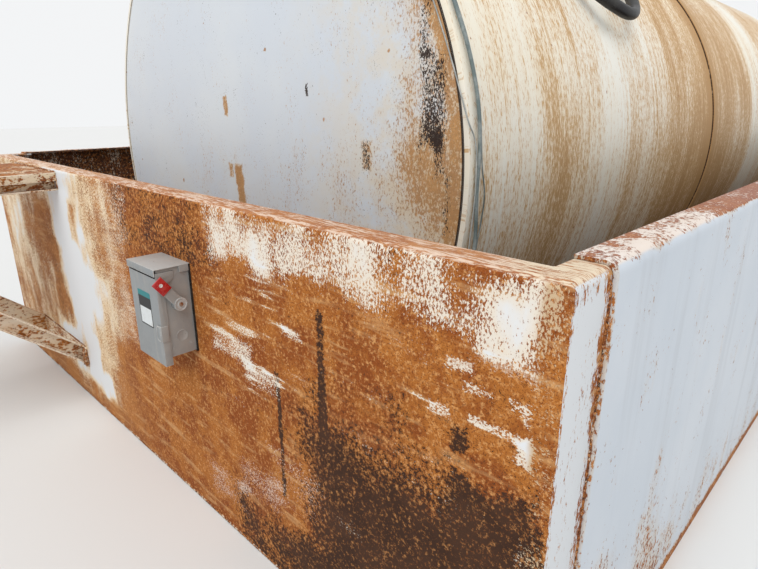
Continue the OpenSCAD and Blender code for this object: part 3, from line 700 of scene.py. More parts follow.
side_paint, tree, shader, place = surface("pale_side_paint", Specular_IOR_Level=0.4)
loose = wandered(tree, place, 8.0, 0.10)
tight = wandered(tree, place, 20.0, 0.016)
facing = axes_of(tree, way_out(tree))
spread_out = axes_of(tree, place)
upwards = step(tree, facing[2], 0.55, 0.80)
outward = plus(tree, times(tree, facing[0], spread_out[0]), times(tree, facing[1], spread_out[1]))
inward = step(tree, outward, -0.9, -0.5, 1.0, 0.0)
loss = add_zones(tree, tight, -0.02, [
    ((0.0, -2.111, 0.4), (2.0, 0.002, 1.0), 0.010, 0.40),
    ((0.0, 2.111, 0.4), (2.0, 0.002, 1.0), 0.010, 0.40),
    ((0.0, 0.0, 0.010), (2.0, 3.0, 0.004), 0.026, 0.75),
    ((0.0, 0.0, 0.812), (2.0, 3.0, 0.002), 0.012, 0.34),
])
loss = add_zones(tree, loose, loss, [
    ((0.0, 0.0, 0.050), (2.0, 3.0, 0.040), 0.16, 0.20),
    ((0.0, -1.88, 0.15), (2.0, 0.12, 0.11), 0.12, 0.28),
])
loss = plus(tree, loss, times(tree, inward, 0.80))
rim_loss = add_zones(tree, loose, 0.80, [
    ((0.0, -2.05, 0.8), (2.0, 0.06, 0.1), 0.05, -0.34),
    ((0.0, -1.86, 0.8), (2.0, 0.12, 0.1), 0.12, -0.46),
    ((1.180, -1.99, 0.8), (0.008, 0.05, 0.1), 0.02, 0.46),
    ((0.0, 0.90, 0.8), (2.0, 0.30, 0.1), 0.20, -0.26),
])
loss = between(tree, upwards, loss, rim_loss)
patch = use(tree, flaking, Place=place, Stretch=(17.0, 12.0, 6.0), Grain=(150.0, 130.0, 90.0),
            Spread=1.5, Amount=loss, Soft=0.03)
dots = use(tree, flecks, Place=place, Size=15.0, Amount=0.14)
wash = step(tree, cloud(tree, place, 2.0, 6, 0.62), 0.33, 0.67)
runs = step(tree, cloud(tree, stretched(tree, place, (12.0, 12.0, 0.9)), 1.0, 5, 0.6), 0.50, 0.66)
paint = tint(tree, wash, (0.55, 0.60, 0.66), (0.61, 0.65, 0.70))
paint = tint(tree, times(tree, runs, 0.40), paint, (0.46, 0.49, 0.53))
paint = tint(tree, step(tree, patch["Field"], 0.10, 0.60, 0.0, 0.7), paint, (0.60, 0.47, 0.32))
paint = tint(tree, upwards, paint, tint(tree, wash, (0.73, 0.63, 0.55), (0.76, 0.74, 0.72)))
layers = use(tree, rust, Place=place, Size=9.0, Dark=plus(tree, 0.22, times(tree, inward, 0.30)))
far = step(tree, spread_out[1], -1.75, -1.35)
scale = tint(tree, times(tree, upwards, between(tree, far, 0.45, 0.75)), layers["Colour"],
             (0.33, 0.175, 0.140))
gone = reckon(tree, "MAXIMUM", patch["Mask"], dots["Mask"])
relief = between(tree, gone, 0.85, times(tree, layers["Height"], 0.9))
relief = plus(tree, relief, times(tree, wash, 0.5))
join(tree, shader, tint(tree, gone, paint, scale), between(tree, gone, 0.42, 0.88), relief, 0.0012,
     0.7)
for node in ("left_wall", "right_wall", "rear_wall"):
    softened(node, node + "_plate", 0.0012, side_paint)


def floor_loss(tree, place):
    return add_zones(tree, wandered(tree, place, 8.0, 0.3), 0.42,
                     [((0, 0, 0), (0.7, 1.9, 0.1), 0.4, 0.15)])


floor_paint = weathered("grimy_floor_paint", (0.46, 0.44, 0.40), (0.56, 0.55, 0.52),
                        (0.34, 0.26, 0.19), floor_loss, stretch=(5.0, 5.0, 5.0), dark=0.5)
softened("dike_floor", "dike_floor_plate", 0.001, floor_paint)


# ---------------------------------------------------------------------------
# Welds of the dike: runs of rippled bead, rusted brown, down the laps of the
# side plates over the returns, across the mitres of the flanges and along the
# foot of the front wall.
def skin(mesh, rings, loop=False, foot=True):
    """Joins rings of points one to the next, and closes the ends of an open run."""
    rows = [[mesh.verts.new(point) for point in ring] for ring in rings]
    for row, after in zip(rows, rows[1:] + (rows[:1] if loop else [])):
        for k in range(len(row)):
            m = (k + 1) % len(row)
            mesh.faces.new((row[k], after[k], after[m], row[m]))
    if not loop:
        mesh.faces.new(list(reversed(rows[-1])))
        if foot:
            mesh.faces.new(rows[0])
    return mesh


# How far apart a bead's ripples are, and how deep its foot lies in the plate
ripple = 0.0035
sunk = 0.0008


def bead(name, path, width, height, look, closed=False, seed=1):
    """A run of rippled weld along a path of (point, way out of the surface)."""
    stops = []
    for (a, out_a), (b, out_b) in zip(path, path[1:] + (path[:1] if closed else [])):
        a, b, out_a, out_b = Vector(a), Vector(b), Vector(out_a), Vector(out_b)
        along = (b - a).normalized()
        count = max(1, round((b - a).length / ripple))
        for k in range(count):
            stops.append((a.lerp(b, k / count), out_a.lerp(out_b, k / count).normalized(), along))
    if not closed:
        stops.append((b, out_b, along))
    phase = random.Random(seed).uniform(0, 6)
    rings = []
    for i, (spot, out, along) in enumerate(stops):
        uneven = noise.noise(Vector((i * 0.11, seed, 0)))
        swell = 0.80 + 0.13 * math.sin(phase + i * 2.05) + 0.14 * uneven
        if not closed:
            swell *= min(1.0, 0.45 + 0.2 * min(i, len(stops) - 1 - i))
        side = along.cross(out).normalized()
        rings.append([
            spot + side * (width / 2 * swell * math.cos(math.pi * k / 5))
            + out * (height * swell * math.sin(math.pi * k / 5) - sunk)
            for k in range(6)])
    return made(name, skin(bmesh.new(), rings, closed), [look], sharp=180)


weld_rust = weathered("rusted_weld", (0.62, 0.54, 0.44), (0.70, 0.66, 0.60), (0.52, 0.33, 0.18),
                      0.66, stretch=(20.0, 20.0, 20.0), dark=0.42, fleck_size=80.0, rust_size=22.0)
weld_white = weathered("painted_weld", (0.66, 0.68, 0.70), (0.74, 0.75, 0.76), (0.55, 0.40, 0.26),
                       0.36, stretch=(20.0, 20.0, 20.0), dark=0.3, fleck_size=80.0, rust_size=22.0)
wall_top = 0.808
lap_y = 2.111
half_width = 1.232
half_length = -wall_y
for side, hand in ((-1, "left"), (1, "right")):
    for end, which in ((-1, "front"), (1, "rear")):
        x, y, out = side * (half_width + 0.0005), end * lap_y, (side * 0.75, end * 0.66, 0.0)
        lap = [((x, y, z), out) for z in (0.008, 0.2, 0.4, 0.6, 0.788)]
        bead(f"lap_weld_{which}_{hand}", lap, 0.006, 0.0036, weld_rust,
             seed=3 + side + 2 * end)
        mitre = [
            ((side * (half_width - back), end * (half_length - back), wall_top - drop), (0, 0, 1))
            for back, drop in ((0.006, 0.001), (0.052, 0.0))]
        paint = front_paint if which == "front" else side_paint
        bead(f"mitre_weld_{which}_{hand}", mitre, 0.007, 0.0022, paint,
             seed=9 + side + 2 * end)
foot = [((x, wall_y - 0.0005, 0.0062), (0.0, -1.0, 0.12)) for x in (-1.22, -0.6, 0.0, 0.6, 1.22)]
bead("foot_weld_front", foot, 0.007, 0.0028, weld_rust, seed=19)


# ---------------------------------------------------------------------------
# Heads: flat discs of 10 mm plate set inside the end rings and sealed by a
# groove weld, whose joint is painted as a near-black line of shade in the groove.
# Pale blue-grey paint, mottled tan and pitted black towards the right edge,
# with an orange band beside the groove.
def spun(name, section, spot_at, look, steps=288, sharp=28, body="tank_and_dike",
         stands_for=None):
    """A round piece: a closed section of (radius, along) points, spun."""
    turns = [2 * math.pi * i / steps for i in range(steps)]
    rings = [[spot_at(radius, along, turn) for radius, along in section] for turn in turns]
    mesh = skin(bmesh.new(), rings, loop=True)
    bmesh.ops.remove_doubles(mesh, verts=mesh.verts, dist=1e-7)
    bmesh.ops.dissolve_degenerate(mesh, dist=1e-7, edges=mesh.edges)
    on_axis = [edge for edge in mesh.edges if not edge.link_faces]
    bmesh.ops.delete(mesh, geom=on_axis, context="EDGES")
    bmesh.ops.recalc_face_normals(mesh, faces=mesh.faces)
    return made(name, mesh, [look], body, sharp, stands_for)


def about_tank(radius, y, turn):
    return radius * math.sin(turn), y, axis_h + radius * math.cos(turn)


def from_axis(tree, place):
    """Distance from the tank's axis."""
    spot = vectors(tree, "SUBTRACT", place, (0.0, 0.0, axis_h))
    spot = stretched(tree, spot, (1.0, 0.0, 1.0))
    return put(tree, "VectorMath", {0: spot}, operation="LENGTH").outputs["Value"]


head_paint, tree, shader, place = surface("pitted_head_paint", Specular_IOR_Level=0.4)
loose = wandered(tree, place, 11.0, 0.06)
tight = wandered(tree, place, 26.0, 0.022)
across = axes_of(tree, place)
radius = from_axis(tree, place)
flank = step(tree, across[0], 0.20, 0.62)
band = times(tree, step(tree, from_axis(tree, loose), 0.758, 0.782), flank)
share = face_zones(tree, loose, times(tree, band, 0.34), front_y, [
    (0.705, 1.04, 0.034, 0.22, 0.10, 0.34),
    (0.740, 0.80, 0.014, 0.12, 0.06, 0.22),
    (0.58, 0.95, 0.10, 0.40, 0.20, 0.08),
    (0.25, 0.60, 0.50, 0.24, 0.10, 0.12),
])
share = face_zones(tree, tight, share, front_y, [
    (-0.033, 0.790, 0.010, 0.020, 0.020, 0.80),
    (-0.028, 0.745, 0.007, 0.030, 0.020, 0.74),
    (-0.080, 0.990, 0.005, 0.024, 0.012, 0.60),
    (-0.075, 0.800, 0.005, 0.016, 0.012, 0.50),
    (0.524, 0.880, 0.006, 0.022, 0.020, 0.38),
])
pitted = face_zones(tree, tight, -0.03, front_y, [
    (0.722, 1.000, 0.011, 0.070, 0.044, 0.70),
    (0.699, 1.140, 0.004, 0.040, 0.030, 0.54),
    (0.738, 0.885, 0.003, 0.040, 0.022, 0.44),
    (0.764, 0.790, 0.002, 0.060, 0.016, 0.46),
    (0.524, 0.880, 0.004, 0.024, 0.022, 0.46),
    (0.310, 1.030, 0.001, 0.010, 0.008, 0.90),
])
patch = use(tree, flaking, Place=place, Stretch=(11.0, 11.0, 5.0), Grain=(230.0, 230.0, 120.0),
            Spread=1.0, Amount=share, Soft=0.05)
pits = use(tree, flaking, Place=place, Stretch=(20.0, 20.0, 9.0), Grain=(270.0, 270.0, 170.0),
           Spread=1.2, Amount=pitted, Soft=0.025)
wash = step(tree, cloud(tree, place, 2.2, 6, 0.6), 0.35, 0.65)
paint = tint(tree, wash, (0.67, 0.72, 0.78), (0.72, 0.76, 0.79))
mottle = step(tree, cloud(tree, place, 9.0, 9, 0.72), 0.38, 0.62)
tan = plus(tree, step(tree, across[0], 0.15, 0.70, 0.0, 0.62),
           step(tree, across[2], 1.02, 0.62, 0.0, 0.18))
paint = tint(tree, times(tree, tan, mottle), paint, (0.76, 0.65, 0.48))
paint = tint(tree, step(tree, patch["Field"], 0.10, 0.80, 0.0, 0.85), paint, (0.72, 0.51, 0.28))
dots = use(tree, flecks, Place=place, Size=13.0, Amount=0.11)
gone = reckon(tree, "MAXIMUM", patch["Mask"], dots["Mask"])
layers = use(tree, rust, Place=place, Size=12.0, Dark=0.2)
scale = tint(tree, 0.45, layers["Colour"], (0.60, 0.34, 0.12))
shade = tint(tree, times(tree, gone, 0.85), paint, scale)
shade = tint(tree, pits["Mask"], shade, (0.034, 0.018, 0.012))
# The head's edge at the joint with the ring is painted near black: the joint line with painted
# shade in the groove.
groove_shade = step(tree, radius, 0.7985, 0.8005)
shade = tint(tree, groove_shade, shade, (0.022, 0.013, 0.010))
relief = plus(tree, between(tree, gone, 0.85, layers["Height"]), times(tree, wash, 0.7))
join(tree, shader, shade, between(tree, gone, 0.46, 0.88), relief, 0.0012, 0.7)

ring_w = 0.016
head_r = tank_r - ring_w - 0.0003
for end, which in ((1, "front"), (-1, "rear")):
    section = [(0.0, 0.0), (head_r - 0.0045, 0.0), (head_r - 0.0035, 0.0006), (head_r, 0.004),
               (head_r, 0.010), (0.0, 0.010)]
    spun(f"{which}_head_disc", [(r, end * (front_y + y)) for r, y in section], about_tank,
         head_paint, stands_for=f"{which}_head")


# ---------------------------------------------------------------------------
# Shell: two rolled courses of 6 mm plate with an end ring welded on each end.
# The rear course steps out over the front one at a lap weld. Cream paint with
# brown runs round the shell, thickest on both sides of the lap.
def make_round(tree, takes):
    """Place unrolled: along the arc, along the tank, out from the axis."""
    apart = axes_of(tree, takes["Place"])
    height = minus(tree, apart[2], axis_h)
    turn = reckon(tree, "ARCTAN2", apart[0], height)
    flat = put(tree, "CombineXYZ", {0: apart[0], 1: height}).outputs[0]
    reach = put(tree, "VectorMath", {0: flat}, operation="LENGTH").outputs["Value"]
    unrolled = put(tree, "CombineXYZ", {0: times(tree, turn, tank_r), 1: apart[1], 2: reach})
    return {"Unrolled": unrolled.outputs[0]}


round_shell = effect("round_the_shell", {"Place": (0, 0, 0)}, {"Unrolled": "Vector"}, make_round)
course_lap = -0.179

shell_paint, tree, shader, place = surface("streaked_shell_paint", Specular_IOR_Level=0.4)
spot = use(tree, round_shell, Place=place)["Unrolled"]
loose = wandered(tree, spot, 5.0, 0.12)
heavy = add_zones(tree, loose, 0.28, [
    ((0.0, y, 0.8), (5.0, half_y, 2.0), soft, weight) for y, half_y, soft, weight in (
        (-1.400, 0.08, 0.14, 0.20),
        (-1.145, 0.06, 0.10, -0.10),
        (-0.820, 0.10, 0.20, 0.12),
        (-0.410, 0.18, 0.12, 0.36),
        (-0.179, 0.03, 0.06, 0.16),
        (0.100, 0.24, 0.20, 0.38),
        (1.200, 0.20, 0.35, 0.24),
    )] + [((1.60, -1.0, 0.8), (0.30, 0.9, 2.0), 0.30, 0.10)])
thin = minus(tree, cloud(tree, stretched(tree, spot, (1.6, 75.0, 1.0)), 1.0, 5, 0.66), 0.5)
heavy = plus(tree, heavy, thin)
streaks = use(tree, flaking, Place=spot, Stretch=(2.2, 8.0, 1.0), Grain=(56.0, 250.0, 1.0),
              Spread=0.9, Amount=heavy, Soft=0.06)
wash = step(tree, cloud(tree, spot, 1.6, 6, 0.6), 0.35, 0.65)
paint = tint(tree, wash, (0.89, 0.83, 0.69), (0.87, 0.85, 0.77))
paint = tint(tree, step(tree, streaks["Field"], 0.08, 0.95, 0.0, 0.78), paint, (0.77, 0.53, 0.26))
dash = tint(tree, step(tree, streaks["Field"], 0.3, 0.9), (0.58, 0.33, 0.11), (0.42, 0.22, 0.07))
paint = tint(tree, times(tree, streaks["Mask"], 0.85), paint, dash)
skyward = step(tree, axes_of(tree, way_out(tree))[2], 0.70, 0.98)
paint = tint(tree, times(tree, skyward, 0.7), paint, (0.60, 0.55, 0.46))
dots = use(tree, flecks, Place=place, Size=36.0, Amount=0.17)
near_end = step(tree, reckon(tree, "ABSOLUTE", axes_of(tree, place)[1]), 1.8282, 1.8288)
reach = axes_of(tree, spot)[2]
# The ring's end face next to the head is painted near black: the joint line with painted shade in
# the groove.
groove_shade = times(tree, near_end, step(tree, reach, 0.8062, 0.8072, 1.0, 0.0))
layers = use(tree, rust, Place=place, Size=14.0, Dark=0.3)
shade = tint(tree, times(tree, dots["Mask"], 0.85), paint, layers["Colour"])
shade = tint(tree, groove_shade, shade, (0.026, 0.016, 0.012))
relief = plus(tree, between(tree, dots["Mask"], 0.85, layers["Height"]), times(tree, wash, 0.6))
join(tree, shader, shade, between(tree, streaks["Mask"], 0.42, 0.62), relief, 0.0010, 0.7)

shell_t = 0.006
fit = 0.0003
eased = 0.0008
ring_l = 0.020
for end, which in ((1, "front"), (-1, "rear")):
    r0, r1 = tank_r - ring_w, tank_r
    section = [(r0, 0.0015), (r0 + 0.0015, 0.0), (r1 - 0.0025, 0.0), (r1 - 0.0008, 0.0008),
               (r1, 0.0025), (r1, ring_l), (r0, ring_l)]
    spun(f"{which}_ring_hoop", [(r, end * (front_y + y)) for r, y in section], about_tank,
         shell_paint, stands_for=f"{which}_ring")
spun("front_course_plate", [
    (tank_r, front_y + ring_l), (tank_r, course_lap + 0.040 - eased),
    (tank_r - eased, course_lap + 0.040),
    (tank_r - shell_t, course_lap + 0.040), (tank_r - shell_t, front_y + ring_l),
], about_tank, shell_paint, stands_for="front_course")
step_r = tank_r + fit + shell_t
spun("rear_course_plate", [
    (tank_r + fit, course_lap), (step_r - eased, course_lap), (step_r, course_lap + eased),
    (step_r, course_lap + 0.044), (tank_r, course_lap + 0.080), (tank_r, -front_y - ring_l),
    (tank_r - shell_t, -front_y - ring_l), (tank_r - shell_t, course_lap + 0.080),
    (tank_r + fit, course_lap + 0.044),
], about_tank, shell_paint, stands_for="rear_course")


def round_path(radius, y, lean, count=180):
    """A closed path round the tank, with the way out leaning along Y."""
    turns = [2 * math.pi * i / count for i in range(count)]
    return [(about_tank(radius, y, turn), (math.sin(turn), lean, math.cos(turn)))
            for turn in turns]


lap_rust = weathered("rusted_lap_weld", (0.62, 0.50, 0.34), (0.70, 0.60, 0.46), (0.45, 0.27, 0.12),
                     0.85, stretch=(20.0, 20.0, 20.0), dark=0.85, fleck_size=80.0, rust_size=20.0)
bead("lap_weld_round", round_path(tank_r + 0.0012, course_lap - 0.0010, -0.9), 0.0075, 0.0036,
     lap_rust, closed=True, seed=31)
for end, which in ((1, "front"), (-1, "rear")):
    bead(f"ring_weld_{which}", round_path(tank_r - 0.0006, end * (front_y + ring_l + 0.0012), 0.0),
         0.0070, 0.0016, weld_white, closed=True, seed=40 + end)


# ---------------------------------------------------------------------------
# Cradles and lifting lugs: the cradles are 12 mm webs under a curved strip on
# the dike's floor, the lugs 12 mm plates welded to the tank's top line. Both
# carry the tank's white paint, rusted along edges and round the eyes.
cradle_paint = weathered("cradle_paint", (0.60, 0.60, 0.58), (0.68, 0.68, 0.66), (0.48, 0.35, 0.22),
                         0.34, stretch=(12.0, 12.0, 6.0), dark=0.4)
lug_paint = weathered("lug_paint", (0.72, 0.71, 0.67), (0.78, 0.77, 0.74), (0.56, 0.38, 0.22), 0.30,
                      stretch=(20.0, 20.0, 14.0), dark=0.3)


def paint_node(name, look):
    """Gives a CAD node that stays in sight its finish."""
    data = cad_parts[name].data
    data.materials.clear()
    data.materials.append(look)
    for face in data.polygons:
        face.material_index = 0


lug_y = 1.250
for end, which in ((-1, "front"), (1, "rear")):
    paint_node(which + "_cradle", cradle_paint)
    softened(which + "_lug", which + "_lug_plate", 0.0012, lug_paint, angle=50.0)
    for side, hand in ((-1, "left"), (1, "right")):
        path = [((side * 0.0062, end * lug_y + t, tank_top + sunk), (side * 0.7, 0.0, 0.72))
                for t in (-0.072, 0.0, 0.072)]
        bead(f"lug_weld_{which}_{hand}", path, 0.009, 0.0042, weld_white,
             seed=50 + end + 2 * side)


# ---------------------------------------------------------------------------
# Openings on the tank's top line: emergency vent with a bolted cover, fill
# neck with a cap, vent pipe with a hood, and the level gauge. Necks are steel
# pipe in the tank's paint, covers dull cast alloy or rusted iron.
neck_paint = weathered("neck_paint", (0.74, 0.72, 0.66), (0.80, 0.79, 0.75), (0.56, 0.38, 0.20),
                       0.28, stretch=(18.0, 18.0, 8.0), dark=0.3)
for name in ("relief_neck", "fill_neck", "vent_pipe", "gauge_neck"):
    paint_node(name, neck_paint)

alloy, tree, shader, place = surface("dull_cast_alloy", Metallic=0.55, Specular_IOR_Level=0.5)
cast = cloud(tree, place, 260, 4, 0.7)
grime = step(tree, cloud(tree, place, 16, 7, 0.66), 0.40, 0.66)
shade = tint(tree, grime, (0.52, 0.52, 0.50), (0.34, 0.33, 0.30))
dots = use(tree, flecks, Place=place, Size=90.0, Amount=0.35)
shade = tint(tree, dots["Mask"], shade, (0.66, 0.66, 0.62))
join(tree, shader, shade, between(tree, grime, 0.46, 0.74), cast, 0.0006, 0.6)
iron = weathered("rusted_cast_iron", (0.16, 0.15, 0.14), (0.22, 0.20, 0.18), (0.24, 0.14, 0.08),
                 0.50,
                 stretch=(20.0, 20.0, 20.0), grain=(160.0, 160.0, 160.0), dark=0.5, fleck_size=90.0,
                 rust_size=26.0, sheen=0.6)
bolt_steel = weathered("rusted_bolts", (0.30, 0.29, 0.27), (0.40, 0.38, 0.35), (0.34, 0.20, 0.11),
                       0.50, stretch=(50.0, 50.0, 50.0), grain=(300.0, 300.0, 300.0), dark=0.4,
                       fleck_size=160.0, rust_size=50.0, sheen=0.4)
for name in ("relief_cover", "vent_hood"):
    paint_node(name, alloy)


def bolts(name, spots, across, height, look, washer=0.0016, shank=0.0, body="tank_and_dike"):
    """Hexagon heads with a chamfer and a washer, from (point, way up)."""
    mesh = bmesh.new()
    luck = random.Random(len(name))
    corner = across * 0.577
    shoulder = washer + height * 0.82
    top = washer + height
    layers = [(24, across * 0.66, 0.0, across * 0.66, washer),
              (6, corner, washer, corner, shoulder), (6, corner, shoulder, across * 0.46, top)]
    if shank:
        layers.append((16, across * 0.31, top, across * 0.31, top + shank))
    for spot, up in spots:
        turn = Vector(up).to_track_quat("Z", "Y").to_matrix().to_4x4()
        base = Matrix.Translation(spot) @ turn @ Matrix.Rotation(luck.uniform(0, 1), 4, "Z")
        for sides, r0, z0, r1, z1 in layers:
            at = base @ Matrix.Translation((0, 0, (z0 + z1) / 2))
            bmesh.ops.create_cone(mesh, cap_ends=True, segments=sides, radius1=r0, radius2=r1,
                                  depth=z1 - z0, matrix=at)
    return made(name, mesh, [look], body)


def bolt_circle(radius, y, z, count, up=1):
    """Places round an opening on the tank's top line, with their way up."""
    turns = [2 * math.pi * (i + 0.5) / count for i in range(count)]
    return [((radius * math.cos(turn), y + radius * math.sin(turn), z), (0, 0, up))
            for turn in turns]


relief_y = 0.500
fill_y = -0.300
vent_y = 1.600
bolts("relief_cover_bolts", bolt_circle(0.1245, relief_y, tank_top + 0.1115, 8), 0.019, 0.009,
      bolt_steel)
bolts("relief_cover_nuts", bolt_circle(0.1245, relief_y, tank_top + 0.0738, 8, -1), 0.019, 0.011,
      bolt_steel, shank=0.006)


def saddle(radius, y, count=72):
    """A closed path where a neck on the top line meets the shell."""
    path = []
    for i in range(count):
        turn = 2 * math.pi * i / count
        x = radius * math.cos(turn)
        z = axis_h + math.sqrt(tank_r ** 2 - x ** 2)
        path.append(((x, y + radius * math.sin(turn), z + sunk),
                     (math.cos(turn), math.sin(turn), 1.0)))
    return path


for name, radius, y, width in (
    ("relief_neck_weld", 0.1100, relief_y, 0.011),
    ("fill_neck_weld", 0.0575, fill_y, 0.010),
    ("vent_pipe_weld", 0.0305, vent_y, 0.009),
    ("gauge_neck_weld", 0.0305, gauge_y, 0.009),
    ("hose_stub_weld_front", 0.0245, hose_front, 0.009),
    ("hose_stub_weld_rear", 0.0245, hose_rear, 0.009),
):
    bead(name, saddle(radius, y), width, width * 0.42, weld_white, closed=True,
         seed=len(name))


def ribbed_cap(radius, z, turn):
    """A place on the fill cap, whose skirt has sixteen shallow ribs."""
    radius += 0.0009 * max(0.0, math.cos(16 * turn)) if radius > 0.060 else 0.0
    return radius * math.cos(turn), fill_y + radius * math.sin(turn), tank_top + 0.100 + z


spun("fill_cap_ribbed", [
    (0.0, 0.0), (0.0635, 0.0), (0.0640, 0.0015), (0.0640, 0.0285), (0.0615, 0.0315),
    (0.0440, 0.0322), (0.0420, 0.0335), (0.0418, 0.0395), (0.0395, 0.0418), (0.0, 0.0420),
], ribbed_cap, iron, 96, 34, stands_for="fill_cap")

enamel, tree, shader, place = surface("grey_enamel", Specular_IOR_Level=0.5)
peel = cloud(tree, place, 520, 2, 0.5)
film = step(tree, cloud(tree, place, 26, 7, 0.66), 0.36, 0.70)
runs = step(tree, cloud(tree, stretched(tree, place, (60.0, 60.0, 6.0)), 1.0, 6, 0.6), 0.52, 0.68)
turned_to = axes_of(tree, put(tree, "TexCoord").outputs["Normal"])
shade = tint(tree, film, (0.300, 0.302, 0.295), (0.345, 0.335, 0.315))
# Faces turned to the front are painted darker, as painted shade, and faces turned up are painted
# lighter, as painted light from the sky.
shade = tint(tree, step(tree, turned_to[1], -0.9, -0.6, 0.75, 0.0), shade, (0.215, 0.238, 0.252))
shade = tint(tree, step(tree, turned_to[2], 0.6, 0.9, 0.0, 0.75), shade, (0.455, 0.452, 0.440))
shade = tint(tree, times(tree, runs, 0.25), shade, (0.40, 0.37, 0.33))
dots = use(tree, flecks, Place=place, Size=120.0, Amount=0.20)
shade = tint(tree, times(tree, dots["Mask"], 0.6), shade, (0.16, 0.13, 0.11))
join(tree, shader, shade, between(tree, film, 0.34, 0.52), peel, 0.0002, 0.4)
for name in ("gauge_head", "wire_glands"):
    paint_node(name, enamel)
bolts("gauge_lid_screws", bolt_circle(0.036, gauge_y, tank_top + 0.0795, 4), 0.007, 0.003,
      bolt_steel, washer=0.0008)


# ---------------------------------------------------------------------------
# Hose connections: steel stubs with a hexagon union, a malleable iron elbow
# and a hose tail, each with a worm-drive clamp that holds the hose.
paint_node("hose_fittings", iron)
band_steel = plain_finish("plated_band", (60, 6, 0.66, 0.42, 0.66), (0.48, 0.47, 0.45),
                          (0.30, 0.24, 0.19),
                          (0.32, 0.62), (700, 2, 0.0002, 0.4), Metallic=0.9, Specular_IOR_Level=0.5)


def hose_clamp(name, y):
    """A slotted band round the hose, with its screw housing and screw."""
    centre = Vector((0.128, y, hose_z - 0.0003))
    inner = 0.0172
    rings = []
    for i in range(96):
        turn = 2 * math.pi * i / 96
        outer = inner + (0.0007 if i % 3 == 0 and math.sin(turn) < 0.7 else 0.0011)
        section = ((inner, -0.0062), (outer, -0.0058), (outer, 0.0058), (inner, 0.0062))
        rings.append([centre + Vector((along, r * math.sin(turn), r * math.cos(turn)))
                      for r, along in section])
    mesh = skin(bmesh.new(), rings, loop=True)
    housing = centre + Vector((0.0, 0.0, inner + 0.0052))
    size = Matrix.Diagonal((0.0135, 0.0170, 0.0085, 1.0))
    block = bmesh.ops.create_cube(mesh, size=1.0, matrix=Matrix.Translation(housing) @ size)
    edges = list({edge for vert in block["verts"] for edge in vert.link_edges})
    bmesh.ops.bevel(mesh, geom=edges, offset=0.0018, segments=3, profile=0.5, affect="EDGES")
    lying = Matrix.Rotation(math.radians(90), 4, "X")
    for shift, radius, sides, depth in ((0.0, 0.0032, 24, 0.028), (0.0155, 0.0046, 6, 0.005)):
        at = Matrix.Translation(housing + Vector((0, shift, 0))) @ lying
        bmesh.ops.create_cone(mesh, cap_ends=True, segments=sides, radius1=radius, radius2=radius,
                              depth=depth, matrix=at)
    bmesh.ops.recalc_face_normals(mesh, faces=mesh.faces)
    made(name, mesh, [band_steel], sharp=30)


hose_clamp("hose_clamp_front", hose_front)
hose_clamp("hose_clamp_rear", hose_rear)


# ---------------------------------------------------------------------------
# Pump shelf: a folded 5 mm plate on two channel arms, with a sloping channel
# brace under each and a bar on the wall where the braces land. All welded, and
# rusted through its cream paint, most on the plate's top and the lower edges.
def shelf_loss(tree, place):
    face = axes_of(tree, way_out(tree))
    top = step(tree, face[2], 0.85, 0.98, 0.0, 0.26)
    under = step(tree, face[2], -0.5, -0.9, 0.0, 0.28)
    return plus(tree, plus(tree, top, under), 0.42)


shelf_paint = weathered("rusted_shelf_paint", (0.76, 0.66, 0.50), (0.80, 0.73, 0.62),
                        (0.66, 0.45, 0.24), shelf_loss,
                        stretch=(8.0, 6.0, 14.0), spread=1.6, grain=(80.0, 60.0, 110.0), dark=0.30,
                        fleck_size=50.0, stained=0.9)
# Lighter cream with less rust on the eased edges of the shelf: a painted highlight along them.
shelf_edge_highlight = weathered("highlit_shelf_edge", (0.82, 0.72, 0.56), (0.84, 0.77, 0.66),
                       (0.66, 0.45, 0.24), 0.30,
                       stretch=(10.0, 10.0, 10.0), grain=(90.0, 90.0, 90.0), fleck_size=60.0)
for node, name, width in (
    ("shelf_plate", "shelf_folded_plate", 0.0022),
    ("shelf_arms", "shelf_channel_arms", 0.0020),
    ("shelf_braces", "shelf_channel_braces", 0.0020),
    ("brace_cleat", "brace_foot_bar", 0.0012),
):
    softened(node, name, width, shelf_paint, edge_highlight=shelf_edge_highlight)


def shelf_weld(name, spots, out, width, seed):
    bead(name, [(spot, out) for spot in spots], width, width / 2, weld_rust,
         seed=seed)


shelf_x = -0.698
arm_x = 0.2285 - 0.005 - 0.0003
bar_top = 0.203
brace_top = 0.740
slope = math.atan2(brace_top - bar_top, 0.710 - 0.075)
for name, half, lift, z, out, width, seed in (
    ("bar_weld_top", 0.220, 0.0006, bar_top + 0.0006, (0.0, -0.7, 0.72), 0.009, 61),
    ("bar_weld_foot", 0.220, 0.0006, bar_top - 0.0766, (0.0, -0.7, -0.72), 0.009, 62),
    ("shelf_weld_top", 0.225, 0.0008, 0.7966, (0.0, -0.6, 0.8), 0.010, 63),
):
    shelf_weld(name, [(shelf_x + t * half, wall_y - lift, z) for t in (-1, 0, 1)], out, width, seed)
foot_y = wall_y - 0.005 - sunk
foot_top = bar_top - 0.005 * math.tan(slope)
drop = 0.051 / math.cos(slope)
head_y = wall_y - (brace_top - bar_top) / math.tan(slope) - 0.001
for side, hand in ((-1, "left"), (1, "right")):
    edge = shelf_x + side * (arm_x + 0.0006)
    low = shelf_x + side * (arm_x - 0.025)
    across = (low, (low + edge) / 2, edge)
    shelf_weld(f"arm_weld_{hand}", [(edge, wall_y - 0.0010, z) for z in (0.742, 0.765, 0.789)],
               (side * 0.7, -0.7, 0.0), 0.010, 64 + side)
    shelf_weld(f"brace_weld_side_{hand}",
               [(edge, foot_y, foot_top - t * drop) for t in (0, 0.5, 1)],
               (side * 0.7, -0.7, 0.0), 0.024, 68 + side)
    shelf_weld(f"brace_weld_top_{hand}", [(x, foot_y, foot_top + 0.0008) for x in across],
               (0.0, -0.7, 0.7), 0.012, 72 + side)
    shelf_weld(f"brace_weld_head_{hand}", [(x, head_y, 0.7395) for x in across],
               (0.0, 0.75, -0.6), 0.011, 76 + side)
